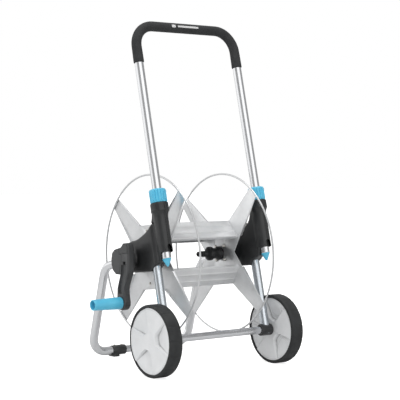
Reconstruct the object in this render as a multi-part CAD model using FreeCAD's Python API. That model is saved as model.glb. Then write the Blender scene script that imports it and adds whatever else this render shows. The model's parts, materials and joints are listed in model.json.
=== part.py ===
import FreeCAD, Part
import math
import os

# Garden hose reel cart, in millimetres. +Z is up and the floor is Z = 0.
# X runs along the wheel axle, with the crank on the -X side (called left) and the
# water inlet on the +X side (called right). The wheels are at Y = 0 and the feet at +Y.
# The origin is on the floor, midway between the wheels, right below the axle.

Vec = FreeCAD.Vector
X_AXIS = Vec(1, 0, 0)
GAP = 0.1                     # clearance between moulded pieces that are fixed together
RUNNING = 0.08                # radial clearance of a turning piece on its pin

# ---- tubes and leaning lines --------------------------------------------------------
TUBE_R = 12.0
TUBE_WALL = 1.5
BAR_R = 10.0
SIDE_X = 166.5                # plane of the handle legs, wheel legs and front legs
LEAN = math.radians(13.9)     # wheel legs and handle lean towards +Y as they rise
HANDLE_OFFSET = 50.0          # handle legs run parallel to the wheel legs, this far to -Y

# ---- wheels and axle ----------------------------------------------------------------
WHEEL_R = 95.0
WHEEL_OUT_X = 223.0
WHEEL_WIDTH = 40.0
AXLE_Z = WHEEL_R
ROD_R = 5.0
BRACKET_R = 16.0
BRACKET_X0, BRACKET_X1 = 147.0, 182.0

# ---- reel ---------------------------------------------------------------------------
REEL_Y, REEL_Z = 137.0, 300.5
REEL_TURN = -6.6              # degrees, how far the spiders stand from a true X
RING_R = 222.0
RING_WIRE_R = 2.5
RING_X = 122.3
PLATE_X0, PLATE_X1 = 114.0, 116.0
WAIST = 63.0                  # half width of the spider at its waist
CORNER_U, CORNER_W = 48.5, 88.0
TIP_NEAR, TIP_FAR = 144.0, 168.5
SHEET = 1.6
JOURNAL_R = 14.0
JOURNAL_CLEAR = 0.06          # radial, in the plastic bushes
HUB_SCREW_PITCH = 19.0

# ---- handle -------------------------------------------------------------------------
HANDLE_TOP_Z = 923.0
HANDLE_END_Z = 306.0
HANDLE_WAY_R = TUBE_R + 0.4   # the handle tube slides through ways of this radius
HANDLE_BEND_R = 60.0
GRIP_R = 13.8
GRIP_END_Z = 820.0
PLUG_LENGTH = 20.0

# ---- clamp nuts and housing sockets (heights are measured on the handle line) --------
NUT_R = 21.8
NUT_Z0, NUT_Z1 = 450.0, 485.0
COLLAR_R = 24.0
COLLAR_Z0 = 427.0
SPIGOT_R = 18.6
SPIGOT_Z1 = 470.0
NUT_CLEAR = 0.3
SOCKET_R = 19.0
SOCKET_Z0 = 322.0
HOUSING_X0, HOUSING_X1 = 148.5, 182.0
BOSS_X0 = 124.0
BOSS_R = 21.0
CRANK_BOSS_X1 = 195.0
WALL = 3.0

# ---- front foot frame ---------------------------------------------------------------
FOOT_Y0 = 373.5               # where the front leg line meets the floor
FOOT_LEAN = math.radians(16.1)
FOOT_BAR_Z = 17.0
FOOT_SLEEVE_R = 13.8
SLEEVE_X0, SLEEVE_X1 = 56.0, 100.0
PAD_X0 = 82.0
FOOT_TOP_BEND = Vec(0, 297.3, 263.9)
FOOT_TOP_END = Vec(0, 176.0, 296.2)
FOOT_BEND_R = 46.0

# ---- crank --------------------------------------------------------------------------
CRANK_X0, CRANK_X1 = 204.0, 225.0
CRANK_END_Y, CRANK_END_Z = 130.0, 183.0
CRANK_GRIP_X1 = 313.0
CRANK_PIN_R = 4.0
PIN_HEAD_X = 299.0            # the pin's head sits inside the grip's open end


# ---- small helpers --------------------------------------------------------------------
def handle_point(x, z):
    """Point on a handle leg's centre line at height z."""
    start = -(AXLE_Z * math.tan(LEAN)) - HANDLE_OFFSET / math.cos(LEAN)
    return Vec(x, start + z * math.tan(LEAN), z)


def leg_point(x, z):
    """Point on a wheel leg's centre line, which passes through the axle."""
    return Vec(x, (z - AXLE_Z) * math.tan(LEAN), z)


LEAN_DIR = Vec(0, math.sin(LEAN), math.cos(LEAN))


def rod_between(start, end, radius):
    return Part.makeCylinder(radius, (end - start).Length, start, end - start)


def x_rod(x0, x1, radius, y, z):
    """Cylinder along X between two X values, given in either order."""
    low, high = min(x0, x1), max(x0, x1)
    return Part.makeCylinder(radius, high - low, Vec(low, y, z), X_AXIS)


def x_cone(x0, x1, r0, r1, y, z):
    """Cone along X: radius r0 at x0 and r1 at x1."""
    return Part.makeCone(r0, r1, abs(x1 - x0), Vec(x0, y, z), Vec(math.copysign(1, x1 - x0), 0, 0))


def x_box(x0, x1, y0, y1, z0, z1):
    low = min(x0, x1)
    return Part.makeBox(abs(x1 - x0), y1 - y0, z1 - z0, Vec(low, y0, z0))


def x_prism(outline, x0, x1):
    """Closed outline of (y, z) points or a wire in plane X = 0, extruded from x0 to x1."""
    if isinstance(outline, Part.Wire):
        wire = outline
    else:
        points = [Vec(0, y, z) for y, z in outline]
        wire = Part.makePolygon(points + points[:1])
    face = Part.Face(wire)
    face.translate(Vec(x0, 0, 0))
    return face.extrude(Vec(x1 - x0, 0, 0))


def x_revolve(profile, y, z):
    """Closed profile of (x, radius) points turned about the X direction line at (y, z)."""
    points = [Vec(x, y, z + radius) for x, radius in profile]
    face = Part.Face(Part.makePolygon(points + points[:1]))
    return face.revolve(Vec(0, y, z), X_AXIS, 360)


def bent_path(points, bend_radius):
    """Wire of straight runs through the points, joined by tangent arcs."""
    edges = []
    start = points[0]
    for before, corner, after in zip(points, points[1:], points[2:]):
        back = (before - corner).normalize()
        ahead = (after - corner).normalize()
        half = back.getAngle(ahead) / 2
        reach = bend_radius / math.tan(half)
        middle = (back + ahead).normalize()
        arc_start = corner + back * reach
        arc_end = corner + ahead * reach
        arc_mid = corner + middle * (bend_radius / math.sin(half) - bend_radius)
        edges.append(Part.LineSegment(start, arc_start).toShape())
        edges.append(Part.Arc(arc_start, arc_mid, arc_end).toShape())
        start = arc_end
    edges.append(Part.LineSegment(start, points[-1]).toShape())
    return Part.Wire(edges)


def swept_rod(path, start, direction, radius):
    circle = Part.Wire(Part.makeCircle(radius, start, direction))
    return path.makePipeShell([circle], True, False)


def bent_tube(points, bend_radius, outer_r, inner_r):
    path = bent_path(points, bend_radius)
    direction = points[1] - points[0]
    outer = swept_rod(path, points[0], direction, outer_r)
    inner = swept_rod(path, points[0], direction, inner_r)
    return outer.cut(inner)


def sheet_outline(points, thickness):
    """Outline of a folded sheet: the point list and the same list moved sideways, mitred."""
    normals = []
    for (y0, z0), (y1, z1) in zip(points, points[1:]):
        length = math.hypot(y1 - y0, z1 - z0)
        normals.append(((z1 - z0) / length, -(y1 - y0) / length))
    moved = []
    for index, (y, z) in enumerate(points):
        before = normals[max(index - 1, 0)]
        after = normals[min(index, len(normals) - 1)]
        ny, nz = before[0] + after[0], before[1] + after[1]
        scale = thickness * 2 / (ny * ny + nz * nz)
        moved.append((y + ny * scale, z + nz * scale))
    return points + moved[::-1]


def fuse_all(shapes):
    return shapes[0].multiFuse(shapes[1:]).removeSplitter()


def cut_all(shape, tools):
    for tool in tools:
        shape = shape.cut(tool)
    return shape


def place_reel(shape):
    """Moves a shape from the reel's own axes (centre at the origin) to its place in the cart."""
    placed = shape.copy()
    placed.rotate(Vec(0, 0, 0), X_AXIS, REEL_TURN)
    placed.translate(Vec(0, REEL_Y, REEL_Z))
    return placed


def side_name(side):
    return "left" if side < 0 else "right"


parts = {}


# ---- frame: wheel legs, axle and brackets ---------------------------------------------
LEG_TOP_Z = 352.0
LEG_FOOT_Z = AXLE_Z - 11.0
CROSSBAR_HALF = 153.6


def wheel_leg(side):
    """Straight inclined tube from the housing down through the axle bracket."""
    bottom = leg_point(side * SIDE_X, LEG_FOOT_Z)
    top = leg_point(side * SIDE_X, LEG_TOP_Z)
    tube = rod_between(bottom, top, TUBE_R).cut(rod_between(bottom, top, TUBE_R - TUBE_WALL))
    return tube.cut(x_rod(side * 140, side * 190, ROD_R + GAP, 0, AXLE_Z))


def axle_bracket(side):
    """Moulded fitting on the axle line that holds the crossbar's end and the wheel leg."""
    body = x_rod(side * BRACKET_X0, side * BRACKET_X1, BRACKET_R, 0, AXLE_Z)
    rims = [edge for edge in body.Edges if edge.Curve.TypeId == "Part::GeomCircle"]
    body = body.makeChamfer(1.2, rims)
    crossbar = x_rod(side * (BRACKET_X0 - 1), side * (CROSSBAR_HALF + GAP), BAR_R + GAP, 0, AXLE_Z)
    rod = x_rod(side * BRACKET_X0, side * (BRACKET_X1 + 1), ROD_R + GAP, 0, AXLE_Z)
    leg_end = leg_point(side * SIDE_X, LEG_FOOT_Z - GAP)
    leg = rod_between(leg_end, leg_point(side * SIDE_X, AXLE_Z + 45), TUBE_R + GAP)
    return cut_all(body, [crossbar, rod, leg])


crossbar = x_rod(-CROSSBAR_HALF, CROSSBAR_HALF, BAR_R, 0, AXLE_Z)
parts["axle_crossbar"] = crossbar.cut(x_rod(-CROSSBAR_HALF, CROSSBAR_HALF, BAR_R - TUBE_WALL, 0, AXLE_Z))

ROD_HALF = 212.5
CLIP_X0, CLIP_X1 = 209.4, 211.0
parts["axle_rod"] = x_rod(-ROD_HALF, ROD_HALF, ROD_R, 0, AXLE_Z)
clips = []
for side in (-1, 1):
    clip = x_rod(side * CLIP_X0, side * CLIP_X1, 8.5, 0, AXLE_Z)
    clips.append(clip.cut(x_rod(side * CLIP_X0, side * CLIP_X1, ROD_R, 0, AXLE_Z)))
parts["axle_clips"] = Part.makeCompound(clips)


# ---- frame: front foot frame ------------------------------------------------------------
FOOT_CORNER = Vec(0, FOOT_Y0 - FOOT_BAR_Z * math.tan(FOOT_LEAN), FOOT_BAR_Z)
LEG_END_X = 74.0
FOOT_BAR_HALF = 104.0
FOOT_SCREW_X = (66.0, 90.0)


def at_side(point, side):
    return Vec(side * SIDE_X, point.y, point.z)


def front_leg(side):
    """Bent tube: out of the housing, down to the floor and inwards along it."""
    points = [at_side(FOOT_TOP_END, side), at_side(FOOT_TOP_BEND, side), at_side(FOOT_CORNER, side)]
    points.append(Vec(side * LEG_END_X, FOOT_CORNER.y, FOOT_CORNER.z))
    return bent_tube(points, FOOT_BEND_R, TUBE_R, TUBE_R - TUBE_WALL)


def foot_screw_holes(side, radius, depth):
    holes = []
    for x in FOOT_SCREW_X:
        base = Vec(side * x, FOOT_CORNER.y, FOOT_BAR_Z + FOOT_SLEEVE_R + 1 - depth)
        holes.append(Part.makeCylinder(radius, depth, base))
    return holes


def foot_sleeve(side):
    """Moulded sleeve over the joint between leg and foot bar, with a flat pad on the floor."""
    y = FOOT_CORNER.y
    body = x_rod(side * SLEEVE_X0, side * SLEEVE_X1, FOOT_SLEEVE_R, y, FOOT_BAR_Z)
    pad_outline = [
        (y - 15, 0), (y + 15, 0), (y + 15, 3), (y + 11, FOOT_BAR_Z), (y - 11, FOOT_BAR_Z), (y - 15, 3),
    ]
    pad = x_prism(pad_outline, side * PAD_X0, side * SLEEVE_X1)
    body = fuse_all([body, pad])
    wide = x_rod(side * LEG_END_X, side * (SLEEVE_X1 + 1), TUBE_R + GAP, y, FOOT_BAR_Z)
    narrow = x_rod(side * (SLEEVE_X0 - 1), side * LEG_END_X, BAR_R + GAP, y, FOOT_BAR_Z)
    return cut_all(body, [wide, narrow] + foot_screw_holes(side, 1.9, 8))


foot_bar = x_rod(-FOOT_BAR_HALF, FOOT_BAR_HALF, BAR_R, FOOT_CORNER.y, FOOT_BAR_Z)
foot_bar_hollow = x_rod(-FOOT_BAR_HALF, FOOT_BAR_HALF, BAR_R - TUBE_WALL, FOOT_CORNER.y, FOOT_BAR_Z)
foot_bar = foot_bar.cut(foot_bar_hollow)
foot_screws = []
for side in (-1, 1):
    foot_bar = cut_all(foot_bar, foot_screw_holes(side, 1.9, 10))
    for x in FOOT_SCREW_X:
        top = Vec(side * x, FOOT_CORNER.y, FOOT_BAR_Z + FOOT_SLEEVE_R + 0.2)
        shank = rod_between(top - Vec(0, 0, 9), top, 1.8)
        foot_screws.append(shank.fuse(Part.makeCone(3.4, 2.4, 1.8, top)))
parts["foot_bar"] = foot_bar
parts["foot_screws"] = Part.makeCompound(foot_screws)


# ---- side housings ----------------------------------------------------------------------
HOUSING_SCREWS = ((66, 384), (112, 337), (181, 323), (96, 277), (192, 270))
SCREW_BOSS_R = 5.0
VALLEY_R = 12.0
VALLEY_DX, VALLEY_OFFSET = 21.5, 23.0
BUSH_R = 17.5


def housing_outline(inset):
    """Side view of the web: a curved upper edge, a rounded back end and a flat underside."""
    upper = [(51, 428), (53, 402), (66, 382), (92.5, 364), (122, 350), (160, 340), (204, 318), (226, 292)]
    upper = [Vec(0, y - inset * 0.7, z - inset) for y, z in upper]
    curve = Part.BSplineCurve()
    curve.interpolate(upper)
    lower = [(231 - inset, 272), (225 - inset, 262 + inset), (130, 261 + inset), (49 + inset, 270 + inset)]
    lower += [(41 + inset, 282), (11 + inset, 300), (6 + inset, 318), (10 + inset, 330), (33, 428 - inset)]
    corners = [Vec(0, y, z) for y, z in lower]
    rest = Part.makePolygon([upper[-1]] + corners + [upper[0]])
    return Part.Wire([curve.toShape()] + rest.Edges)


def valley(side, radius):
    """Rod along the hollow between the socket and the rest of the web's outer face."""
    across = Vec(side * VALLEY_DX, VALLEY_OFFSET * math.cos(LEAN), -VALLEY_OFFSET * math.sin(LEAN))
    low, high = handle_point(side * SIDE_X, 285), handle_point(side * SIDE_X, 402)
    return rod_between(low + across, high + across, radius)


def housing_solid(side):
    """Whole side housing before it is split into two shells."""
    low, high = side * HOUSING_X0, side * HOUSING_X1
    web = x_prism(housing_outline(0), low, high).cut(valley(side, VALLEY_R))
    shoulder = x_cone(side * HOUSING_X1, side * (HOUSING_X1 + 7), 28, BOSS_R, REEL_Y, REEL_Z)
    bearing = x_rod(side * BOSS_X0, side * CRANK_BOSS_X1, BOSS_R, REEL_Y, REEL_Z)
    socket = rod_between(
        handle_point(side * SIDE_X, SOCKET_Z0), handle_point(side * SIDE_X, COLLAR_Z0), SOCKET_R)
    flare = Part.makeCone(SOCKET_R, COLLAR_R, 9, handle_point(side * SIDE_X, COLLAR_Z0 - 9), LEAN_DIR)
    collar = rod_between(
        handle_point(side * SIDE_X, COLLAR_Z0), handle_point(side * SIDE_X, NUT_Z0 - 1), COLLAR_R)
    spigot = rod_between(
        handle_point(side * SIDE_X, NUT_Z0 - 2), handle_point(side * SIDE_X, SPIGOT_Z1), SPIGOT_R)
    outside = fuse_all([web, shoulder, bearing, socket, flare, collar, spigot])

    cavity = x_prism(housing_outline(WALL), side * (HOUSING_X0 + WALL), side * (HOUSING_X1 - WALL))
    tube_bosses = [
        valley(side, VALLEY_R + WALL),
        rod_between(handle_point(side * SIDE_X, 300), handle_point(side * SIDE_X, 440), SOCKET_R - 1),
        rod_between(leg_point(side * SIDE_X, 255), leg_point(side * SIDE_X, LEG_TOP_Z + 4), TUBE_R + WALL),
        rod_between(at_side(FOOT_TOP_END, side), at_side(FOOT_TOP_BEND, side), TUBE_R + WALL),
        x_rod(side * HOUSING_X0, side * HOUSING_X1, BOSS_R + WALL, REEL_Y, REEL_Z),
    ]
    for y, z in HOUSING_SCREWS:
        tube_bosses.append(x_rod(side * HOUSING_X0, side * HOUSING_X1, SCREW_BOSS_R, y, z))
    body = outside.cut(cut_all(cavity, tube_bosses))

    handle_way = rod_between(
        handle_point(side * SIDE_X, 290), handle_point(side * SIDE_X, SPIGOT_Z1 + 2), HANDLE_WAY_R)
    leg_way = rod_between(
        leg_point(side * SIDE_X, 240), leg_point(side * SIDE_X, LEG_TOP_Z + GAP), TUBE_R + GAP)
    foot_way = rod_between(at_side(FOOT_TOP_END, side), at_side(FOOT_TOP_BEND, side), TUBE_R + GAP)
    bush_way = x_rod(side * BOSS_X0, side * CRANK_BOSS_X1, BUSH_R + GAP, REEL_Y, REEL_Z)
    body = cut_all(body, [handle_way, leg_way, foot_way, bush_way])
    for y, z in HOUSING_SCREWS:
        head = x_rod(side * (HOUSING_X0 - 1), side * (HOUSING_X0 + 2.2), 4.2, y, z)
        hole = x_rod(side * HOUSING_X0, side * (HOUSING_X1 - WALL), 2.0, y, z)
        body = cut_all(body, [head, hole])
    return body


def housing_half(solid, side, outer):
    """One shell of the housing: the outer one faces away from the reel."""
    far = 400.0
    if outer:
        keep = x_box(side * (SIDE_X + GAP), side * far, -200, 400, 0, 600)
    else:
        keep = x_box(0, side * (SIDE_X - GAP), -200, 400, 0, 600)
    return solid.common(keep)


def bearing_bush(side):
    """Plain plastic sleeve that the reel's journal turns in."""
    bush = x_rod(side * (BOSS_X0 + 0.5), side * (CRANK_BOSS_X1 - 0.5), BUSH_R, REEL_Y, REEL_Z)
    return bush.cut(x_rod(side * BOSS_X0, side * CRANK_BOSS_X1, JOURNAL_R + JOURNAL_CLEAR, REEL_Y, REEL_Z))


def clamp_collet(side):
    """Split tapered ring that the clamp nut squeezes on the handle tube."""
    base = handle_point(side * SIDE_X, SPIGOT_Z1) + LEAN_DIR * 0.2
    ring = Part.makeCone(SPIGOT_R - 0.4, SPIGOT_R - 3.6, 9, base, LEAN_DIR)
    ring = ring.cut(Part.makeCylinder(TUBE_R + RUNNING, 9, base, LEAN_DIR))
    slot = Part.makeBox(3, 30, 12, Vec(-1.5, 0, -1))
    slot.rotate(Vec(0, 0, 0), X_AXIS, -math.degrees(LEAN))
    slot.translate(base)
    return ring.cut(slot)


def clamp_nut(side):
    """Ribbed round nut with a hollow skirt over the collar's spigot."""
    base = handle_point(side * SIDE_X, NUT_Z0)
    length = (NUT_Z1 - NUT_Z0) / math.cos(LEAN)
    body = Part.makeCylinder(NUT_R, length, base, LEAN_DIR)
    top_rim = max(body.Edges, key=lambda edge: edge.BoundBox.ZMin)
    body = body.makeChamfer(2.0, [top_rim])
    ribs = []
    rib_count = 18
    for index in range(rib_count):
        rib = Part.makeBox(3.6, 3.0, length - 5, Vec(-1.8, NUT_R - 1.8, 1.2))
        rib.rotate(Vec(0, 0, 0), Vec(0, 0, 1), index * 360 / rib_count)
        rib.rotate(Vec(0, 0, 0), X_AXIS, -math.degrees(LEAN))
        rib.translate(base)
        ribs.append(rib)
    body = fuse_all([body] + ribs)
    skirt = Part.makeCylinder(SPIGOT_R + NUT_CLEAR, length - 6, base, LEAN_DIR)
    way = Part.makeCylinder(HANDLE_WAY_R, length + 1, base, LEAN_DIR)
    return cut_all(body, [skirt, way])


housing_screws = []
for side in (-1, 1):
    name = side_name(side)
    parts["wheel_leg_" + name] = wheel_leg(side)
    parts["axle_bracket_" + name] = axle_bracket(side)
    parts["front_leg_" + name] = cut_all(front_leg(side), foot_screw_holes(side, 1.9, 10))
    parts["foot_sleeve_" + name] = foot_sleeve(side)
    whole = housing_solid(side)
    parts["housing_outer_" + name] = housing_half(whole, side, True)
    parts["housing_inner_" + name] = housing_half(whole, side, False)
    parts["bearing_bush_" + name] = bearing_bush(side)
    parts["clamp_collet_" + name] = clamp_collet(side)
    parts["clamp_nut_" + name] = clamp_nut(side)
    for y, z in HOUSING_SCREWS:
        head = x_rod(side * (HOUSING_X0 + 0.2), side * (HOUSING_X0 + 2.1), 4.0, y, z)
        shank = x_rod(side * (HOUSING_X0 + 2.1), side * (HOUSING_X1 - WALL - 0.5), 1.9, y, z)
        housing_screws.append(head.fuse(shank))
parts["housing_screws"] = Part.makeCompound(housing_screws)


# ---- handle -----------------------------------------------------------------------------
def handle_path(end_z):
    top_left = handle_point(-SIDE_X, HANDLE_TOP_Z)
    top_right = handle_point(SIDE_X, HANDLE_TOP_Z)
    return [handle_point(-SIDE_X, end_z), top_left, top_right, handle_point(SIDE_X, end_z)]


def handle_plug(side):
    """Stopper with a cone below the tube and a stem pressed into it."""
    end = handle_point(side * SIDE_X, HANDLE_END_Z)
    cone = Part.makeCone(TUBE_R, 2.5, PLUG_LENGTH, end, LEAN_DIR * -1)
    stem = Part.makeCylinder(TUBE_R - TUBE_WALL - 0.05, 16, end, LEAN_DIR)
    return cone.fuse(stem).removeSplitter()


parts["handle_tube"] = bent_tube(handle_path(HANDLE_END_Z), HANDLE_BEND_R, TUBE_R, TUBE_R - TUBE_WALL)
parts["handle_grip"] = bent_tube(handle_path(GRIP_END_Z), HANDLE_BEND_R, GRIP_R, TUBE_R + 0.05)
parts["handle_plug_left"] = handle_plug(-1)
parts["handle_plug_right"] = handle_plug(1)


# ---- reel: sheet-metal spiders, beams and wire rings --------------------------------------
# The fold line of each arm starts at the spider's corner and crosses the arm squarely.
FOLD_T = (CORNER_U + CORNER_W - WAIST) / (TIP_NEAR + TIP_FAR - WAIST)
FOLD_U = WAIST + (TIP_FAR - WAIST) * FOLD_T
FOLD_W = TIP_NEAR * FOLD_T
TIP_PLATE_X1 = RING_X - RING_WIRE_R
PLATE_T = PLATE_X1 - PLATE_X0
RIVET_U, RIVET_W = 22.0, 72.0


def ruled_bar(start_section, end_section):
    """Solid between two four-cornered sections."""
    wires = [Part.makePolygon(points + points[:1]) for points in (start_section, end_section)]
    return Part.makeLoft(wires, True, True)


def section(side, point_a, point_b, x0, x1):
    return [
        Vec(side * x0, *point_a), Vec(side * x0, *point_b),
        Vec(side * x1, *point_b), Vec(side * x1, *point_a),
    ]


def towards(point, other, distance):
    length = math.hypot(other[0] - point[0], other[1] - point[1])
    share = distance / length
    return (point[0] + (other[0] - point[0]) * share, point[1] + (other[1] - point[1]) * share)


def spider_arm(side, sign_u, sign_w):
    """One tapering arm, flared out to the ring, with a stiffening lip along each edge."""
    base_a, base_b = (sign_u * CORNER_U, sign_w * CORNER_W), (sign_u * FOLD_U, sign_w * FOLD_W)
    tip_a, tip_b = (sign_u * TIP_NEAR, sign_w * TIP_FAR), (sign_u * TIP_FAR, sign_w * TIP_NEAR)
    tip_x0 = TIP_PLATE_X1 - PLATE_T
    pieces = [ruled_bar(
        section(side, base_a, base_b, PLATE_X0, PLATE_X1),
        section(side, tip_a, tip_b, tip_x0, TIP_PLATE_X1))]
    for edge_base, other_base, edge_tip, other_tip in (
            (base_a, base_b, tip_a, tip_b), (base_b, base_a, tip_b, tip_a)):
        lip_base = section(side, edge_base, towards(edge_base, other_base, SHEET), PLATE_X0, PLATE_X1 + 6)
        lip_tip = section(side, edge_tip, towards(edge_tip, other_tip, SHEET), tip_x0, TIP_PLATE_X1 + 0.01)
        pieces.append(ruled_bar(lip_base, lip_tip))
    return fuse_all(pieces)


def spider(side):
    quarter = [(WAIST, 0), (FOLD_U, FOLD_W), (CORNER_U, CORNER_W)]
    top = quarter[1:] + [(-u, w) for u, w in quarter[:0:-1]] + [(-WAIST, 0)]
    outline = [quarter[0]] + top + [(u, -w) for u, w in top[-2::-1]]
    plate = x_prism(outline, side * PLATE_X0, side * PLATE_X1)
    arms = [spider_arm(side, sign_u, sign_w) for sign_u in (-1, 1) for sign_w in (-1, 1)]
    body = fuse_all([plate] + arms)
    holes = [x_rod(side * 110, side * 125, 13.2, 0, 0)]
    for sign_u in (-1, 1):
        for sign_w in (-1, 1):
            for u, w in ((HUB_SCREW_PITCH, HUB_SCREW_PITCH), (RIVET_U, RIVET_W)):
                holes.append(x_rod(side * 110, side * 125, 2.6, sign_u * u, sign_w * w))
    return cut_all(body, holes)


BEAM_HALF = PLATE_X0 - GAP
BEAM_FLANK_U, BEAM_FLANK_W = 83.0, 42.0


def drum_beam(sign_w):
    """Channel of folded sheet that the hose is wound on, with a tab at each end."""
    half = [(-CORNER_U, CORNER_W), (-BEAM_FLANK_U, BEAM_FLANK_W), (-BEAM_FLANK_U + 6.5, BEAM_FLANK_W - 6)]
    points = half[::-1] + [(-u, w) for u, w in half]
    outline = [(u, sign_w * w) for u, w in sheet_outline(points, SHEET)]
    body = x_prism(outline, -BEAM_HALF, BEAM_HALF)
    tabs = []
    for side in (-1, 1):
        low, high = sorted((sign_w * (CORNER_W - 1), sign_w * 60.0))
        tab = x_box(side * (BEAM_HALF - SHEET), side * BEAM_HALF, -34, 34, low, high)
        for u in (-RIVET_U, RIVET_U):
            tab = tab.cut(x_rod(side * 105, side * 120, 2.6, u, sign_w * RIVET_W))
        tabs.append(tab)
    return fuse_all([body] + tabs)


rivets = []
hub_screws = []
for side in (-1, 1):
    name = side_name(side)
    parts["spider_" + name] = place_reel(spider(side))
    ring = Part.makeTorus(RING_R, RING_WIRE_R, Vec(side * RING_X, 0, 0), X_AXIS)
    parts["wire_ring_" + name] = place_reel(ring)
    for sign_u in (-1, 1):
        for sign_w in (-1, 1):
            u, w = sign_u * RIVET_U, sign_w * RIVET_W
            inner_face, outer_face = side * (BEAM_HALF - SHEET), side * PLATE_X1
            shank = x_rod(inner_face, outer_face, 2.5, u, w)
            shop_head = x_cone(inner_face, inner_face - side * 1.6, 4.2, 2.4, u, w)
            dome_head = x_cone(outer_face, outer_face + side * 1.8, 4.6, 2.6, u, w)
            rivets.append(fuse_all([shank, shop_head, dome_head]))
            u, w = sign_u * HUB_SCREW_PITCH, sign_w * HUB_SCREW_PITCH
            head = x_cone(side * PLATE_X0, side * (PLATE_X0 - 2.6), 4.6, 3.4, u, w)
            screw = x_rod(side * PLATE_X0, side * (PLATE_X1 + 3.8), 2.2, u, w)
            hub_screws.append(fuse_all([head, screw]))
parts["drum_beam_upper"] = place_reel(drum_beam(1))
parts["drum_beam_lower"] = place_reel(drum_beam(-1))
parts["reel_rivets"] = place_reel(Part.makeCompound(rivets))
parts["hub_screws"] = place_reel(Part.makeCompound(hub_screws))


# ---- reel: journals, water way and hose adapter ---------------------------------------------
FLANGE_HALF = 27.0
FLANGE_X1 = PLATE_X1 + 5.0
DRIVE_SQUARE = 18.0
BORE_R = 6.0
THREAD_R = 12.0
OUTLET_END_X = 76.0
ADAPTER_GROOVE_X = 52.0


def journal_flange(side):
    flange = x_box(side * PLATE_X1, side * FLANGE_X1, -FLANGE_HALF, FLANGE_HALF, -FLANGE_HALF, FLANGE_HALF)
    upright = [edge for edge in flange.Edges if abs(edge.tangentAt(edge.FirstParameter).x) > 0.9]
    flange = flange.makeFillet(7, upright)
    for sign_u in (-1, 1):
        for sign_w in (-1, 1):
            u, w = sign_u * HUB_SCREW_PITCH, sign_w * HUB_SCREW_PITCH
            flange = flange.cut(x_rod(side * PLATE_X1, side * (PLATE_X1 + 4), 2.3, u, w))
    return flange


def drive_journal():
    """Solid shaft on the crank side, squared at its end to take the crank."""
    shaft = x_rod(-PLATE_X1, -CRANK_BOSS_X1 - 3, JOURNAL_R, 0, 0)
    half = DRIVE_SQUARE / 2
    square = x_box(-CRANK_BOSS_X1 - 3, -CRANK_X0 - 9, -half, half, -half, half)
    body = fuse_all([journal_flange(-1), shaft, square])
    return body.cut(x_rod(-180, -CRANK_X0 - 9, 3.1, 0, 0))


def water_journal():
    """Hollow shaft on the water side, with a threaded outlet that reaches inside the drum."""
    shaft = x_rod(PLATE_X1, CRANK_BOSS_X1 - 1, JOURNAL_R, 0, 0)
    outlet = x_rod(OUTLET_END_X, PLATE_X1, THREAD_R, 0, 0)
    body = fuse_all([journal_flange(1), shaft, outlet])
    seal_bore = x_rod(176, CRANK_BOSS_X1, 8.0, 0, 0)
    return cut_all(body, [seal_bore, x_rod(OUTLET_END_X, CRANK_BOSS_X1, BORE_R, 0, 0)])


def outlet_nut():
    """Round lock nut that holds the water journal to the spider."""
    profile = [
        (99, 12.1), (99, 15), (104, 15.5), (105.5, 17.8), (107.5, 19), (111, 19), (113, 17.8),
        (113.9, 15.5), (113.9, 12.1),
    ]
    return x_revolve(profile, 0, 0)


def hose_adapter():
    """Ribbed union with the plug-in nipple that the wound hose is connected to."""
    body_profile = [
        (OUTLET_END_X - 0.1, 12.1), (98.5, 12.1), (98.5, 15), (84, 15), (82, 18), (72, 18), (69, 14),
        (66, 9), (66, 8.2), (47, 8.2), (47, 6.0), (40, 6.0), (40, 7.2), (37, 7.2), (35, 6.0),
        (35, 4.6), (OUTLET_END_X - 0.1, 4.6),
    ]
    body = x_revolve(body_profile, 0, 0)
    ribs = []
    rib_count = 16
    for index in range(rib_count):
        rib = x_box(72.5, 81.5, -1.5, 1.5, 17.2, 19.2)
        rib.rotate(Vec(0, 0, 0), X_AXIS, index * 360 / rib_count)
        ribs.append(rib)
    body = fuse_all([body] + ribs)
    groove = x_rod(ADAPTER_GROOVE_X, ADAPTER_GROOVE_X + 2.6, 9, 0, 0)
    groove = groove.cut(x_rod(ADAPTER_GROOVE_X, ADAPTER_GROOVE_X + 2.6, 6.3, 0, 0))
    return body.cut(groove)


def o_ring(x, centre_r, wire_r):
    return Part.makeTorus(centre_r, wire_r, Vec(x, 0, 0), X_AXIS)


parts["drive_journal"] = place_reel(drive_journal())
parts["water_journal"] = place_reel(water_journal())
parts["outlet_nut"] = place_reel(outlet_nut())
parts["hose_adapter"] = place_reel(hose_adapter())
parts["adapter_seal"] = place_reel(o_ring(ADAPTER_GROOVE_X + 1.3, 7.25, 0.9))


# ---- fixed water inlet ------------------------------------------------------------------------
def water_inlet():
    """Stationary plug-in nipple on the outer face of the right housing."""
    profile = [
        (179, 4.6), (179, 7.0), (180, 7.7), (CRANK_BOSS_X1 + 0.3, 7.7), (CRANK_BOSS_X1 + 0.3, 24),
        (CRANK_BOSS_X1 + 3, 24), (CRANK_BOSS_X1 + 4, 22), (CRANK_BOSS_X1 + 4, 12), (203, 10.5), (203, 8.2),
        (213, 8.2), (213, 6.2), (215, 6.2), (215, 7.4), (221, 7.4), (222.5, 6.2), (222.5, 4.6),
    ]
    body = x_revolve(profile, 0, 0)
    for x in (183.0, 188.0):
        body = body.cut(x_rod(x, x + 2.4, 9, 0, 0).cut(x_rod(x, x + 2.4, 6.1, 0, 0)))
    return body


parts["water_inlet"] = place_reel(water_inlet())
parts["inlet_seals"] = place_reel(Part.makeCompound([o_ring(184.2, 7.05, 0.88), o_ring(189.2, 7.05, 0.88)]))


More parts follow.
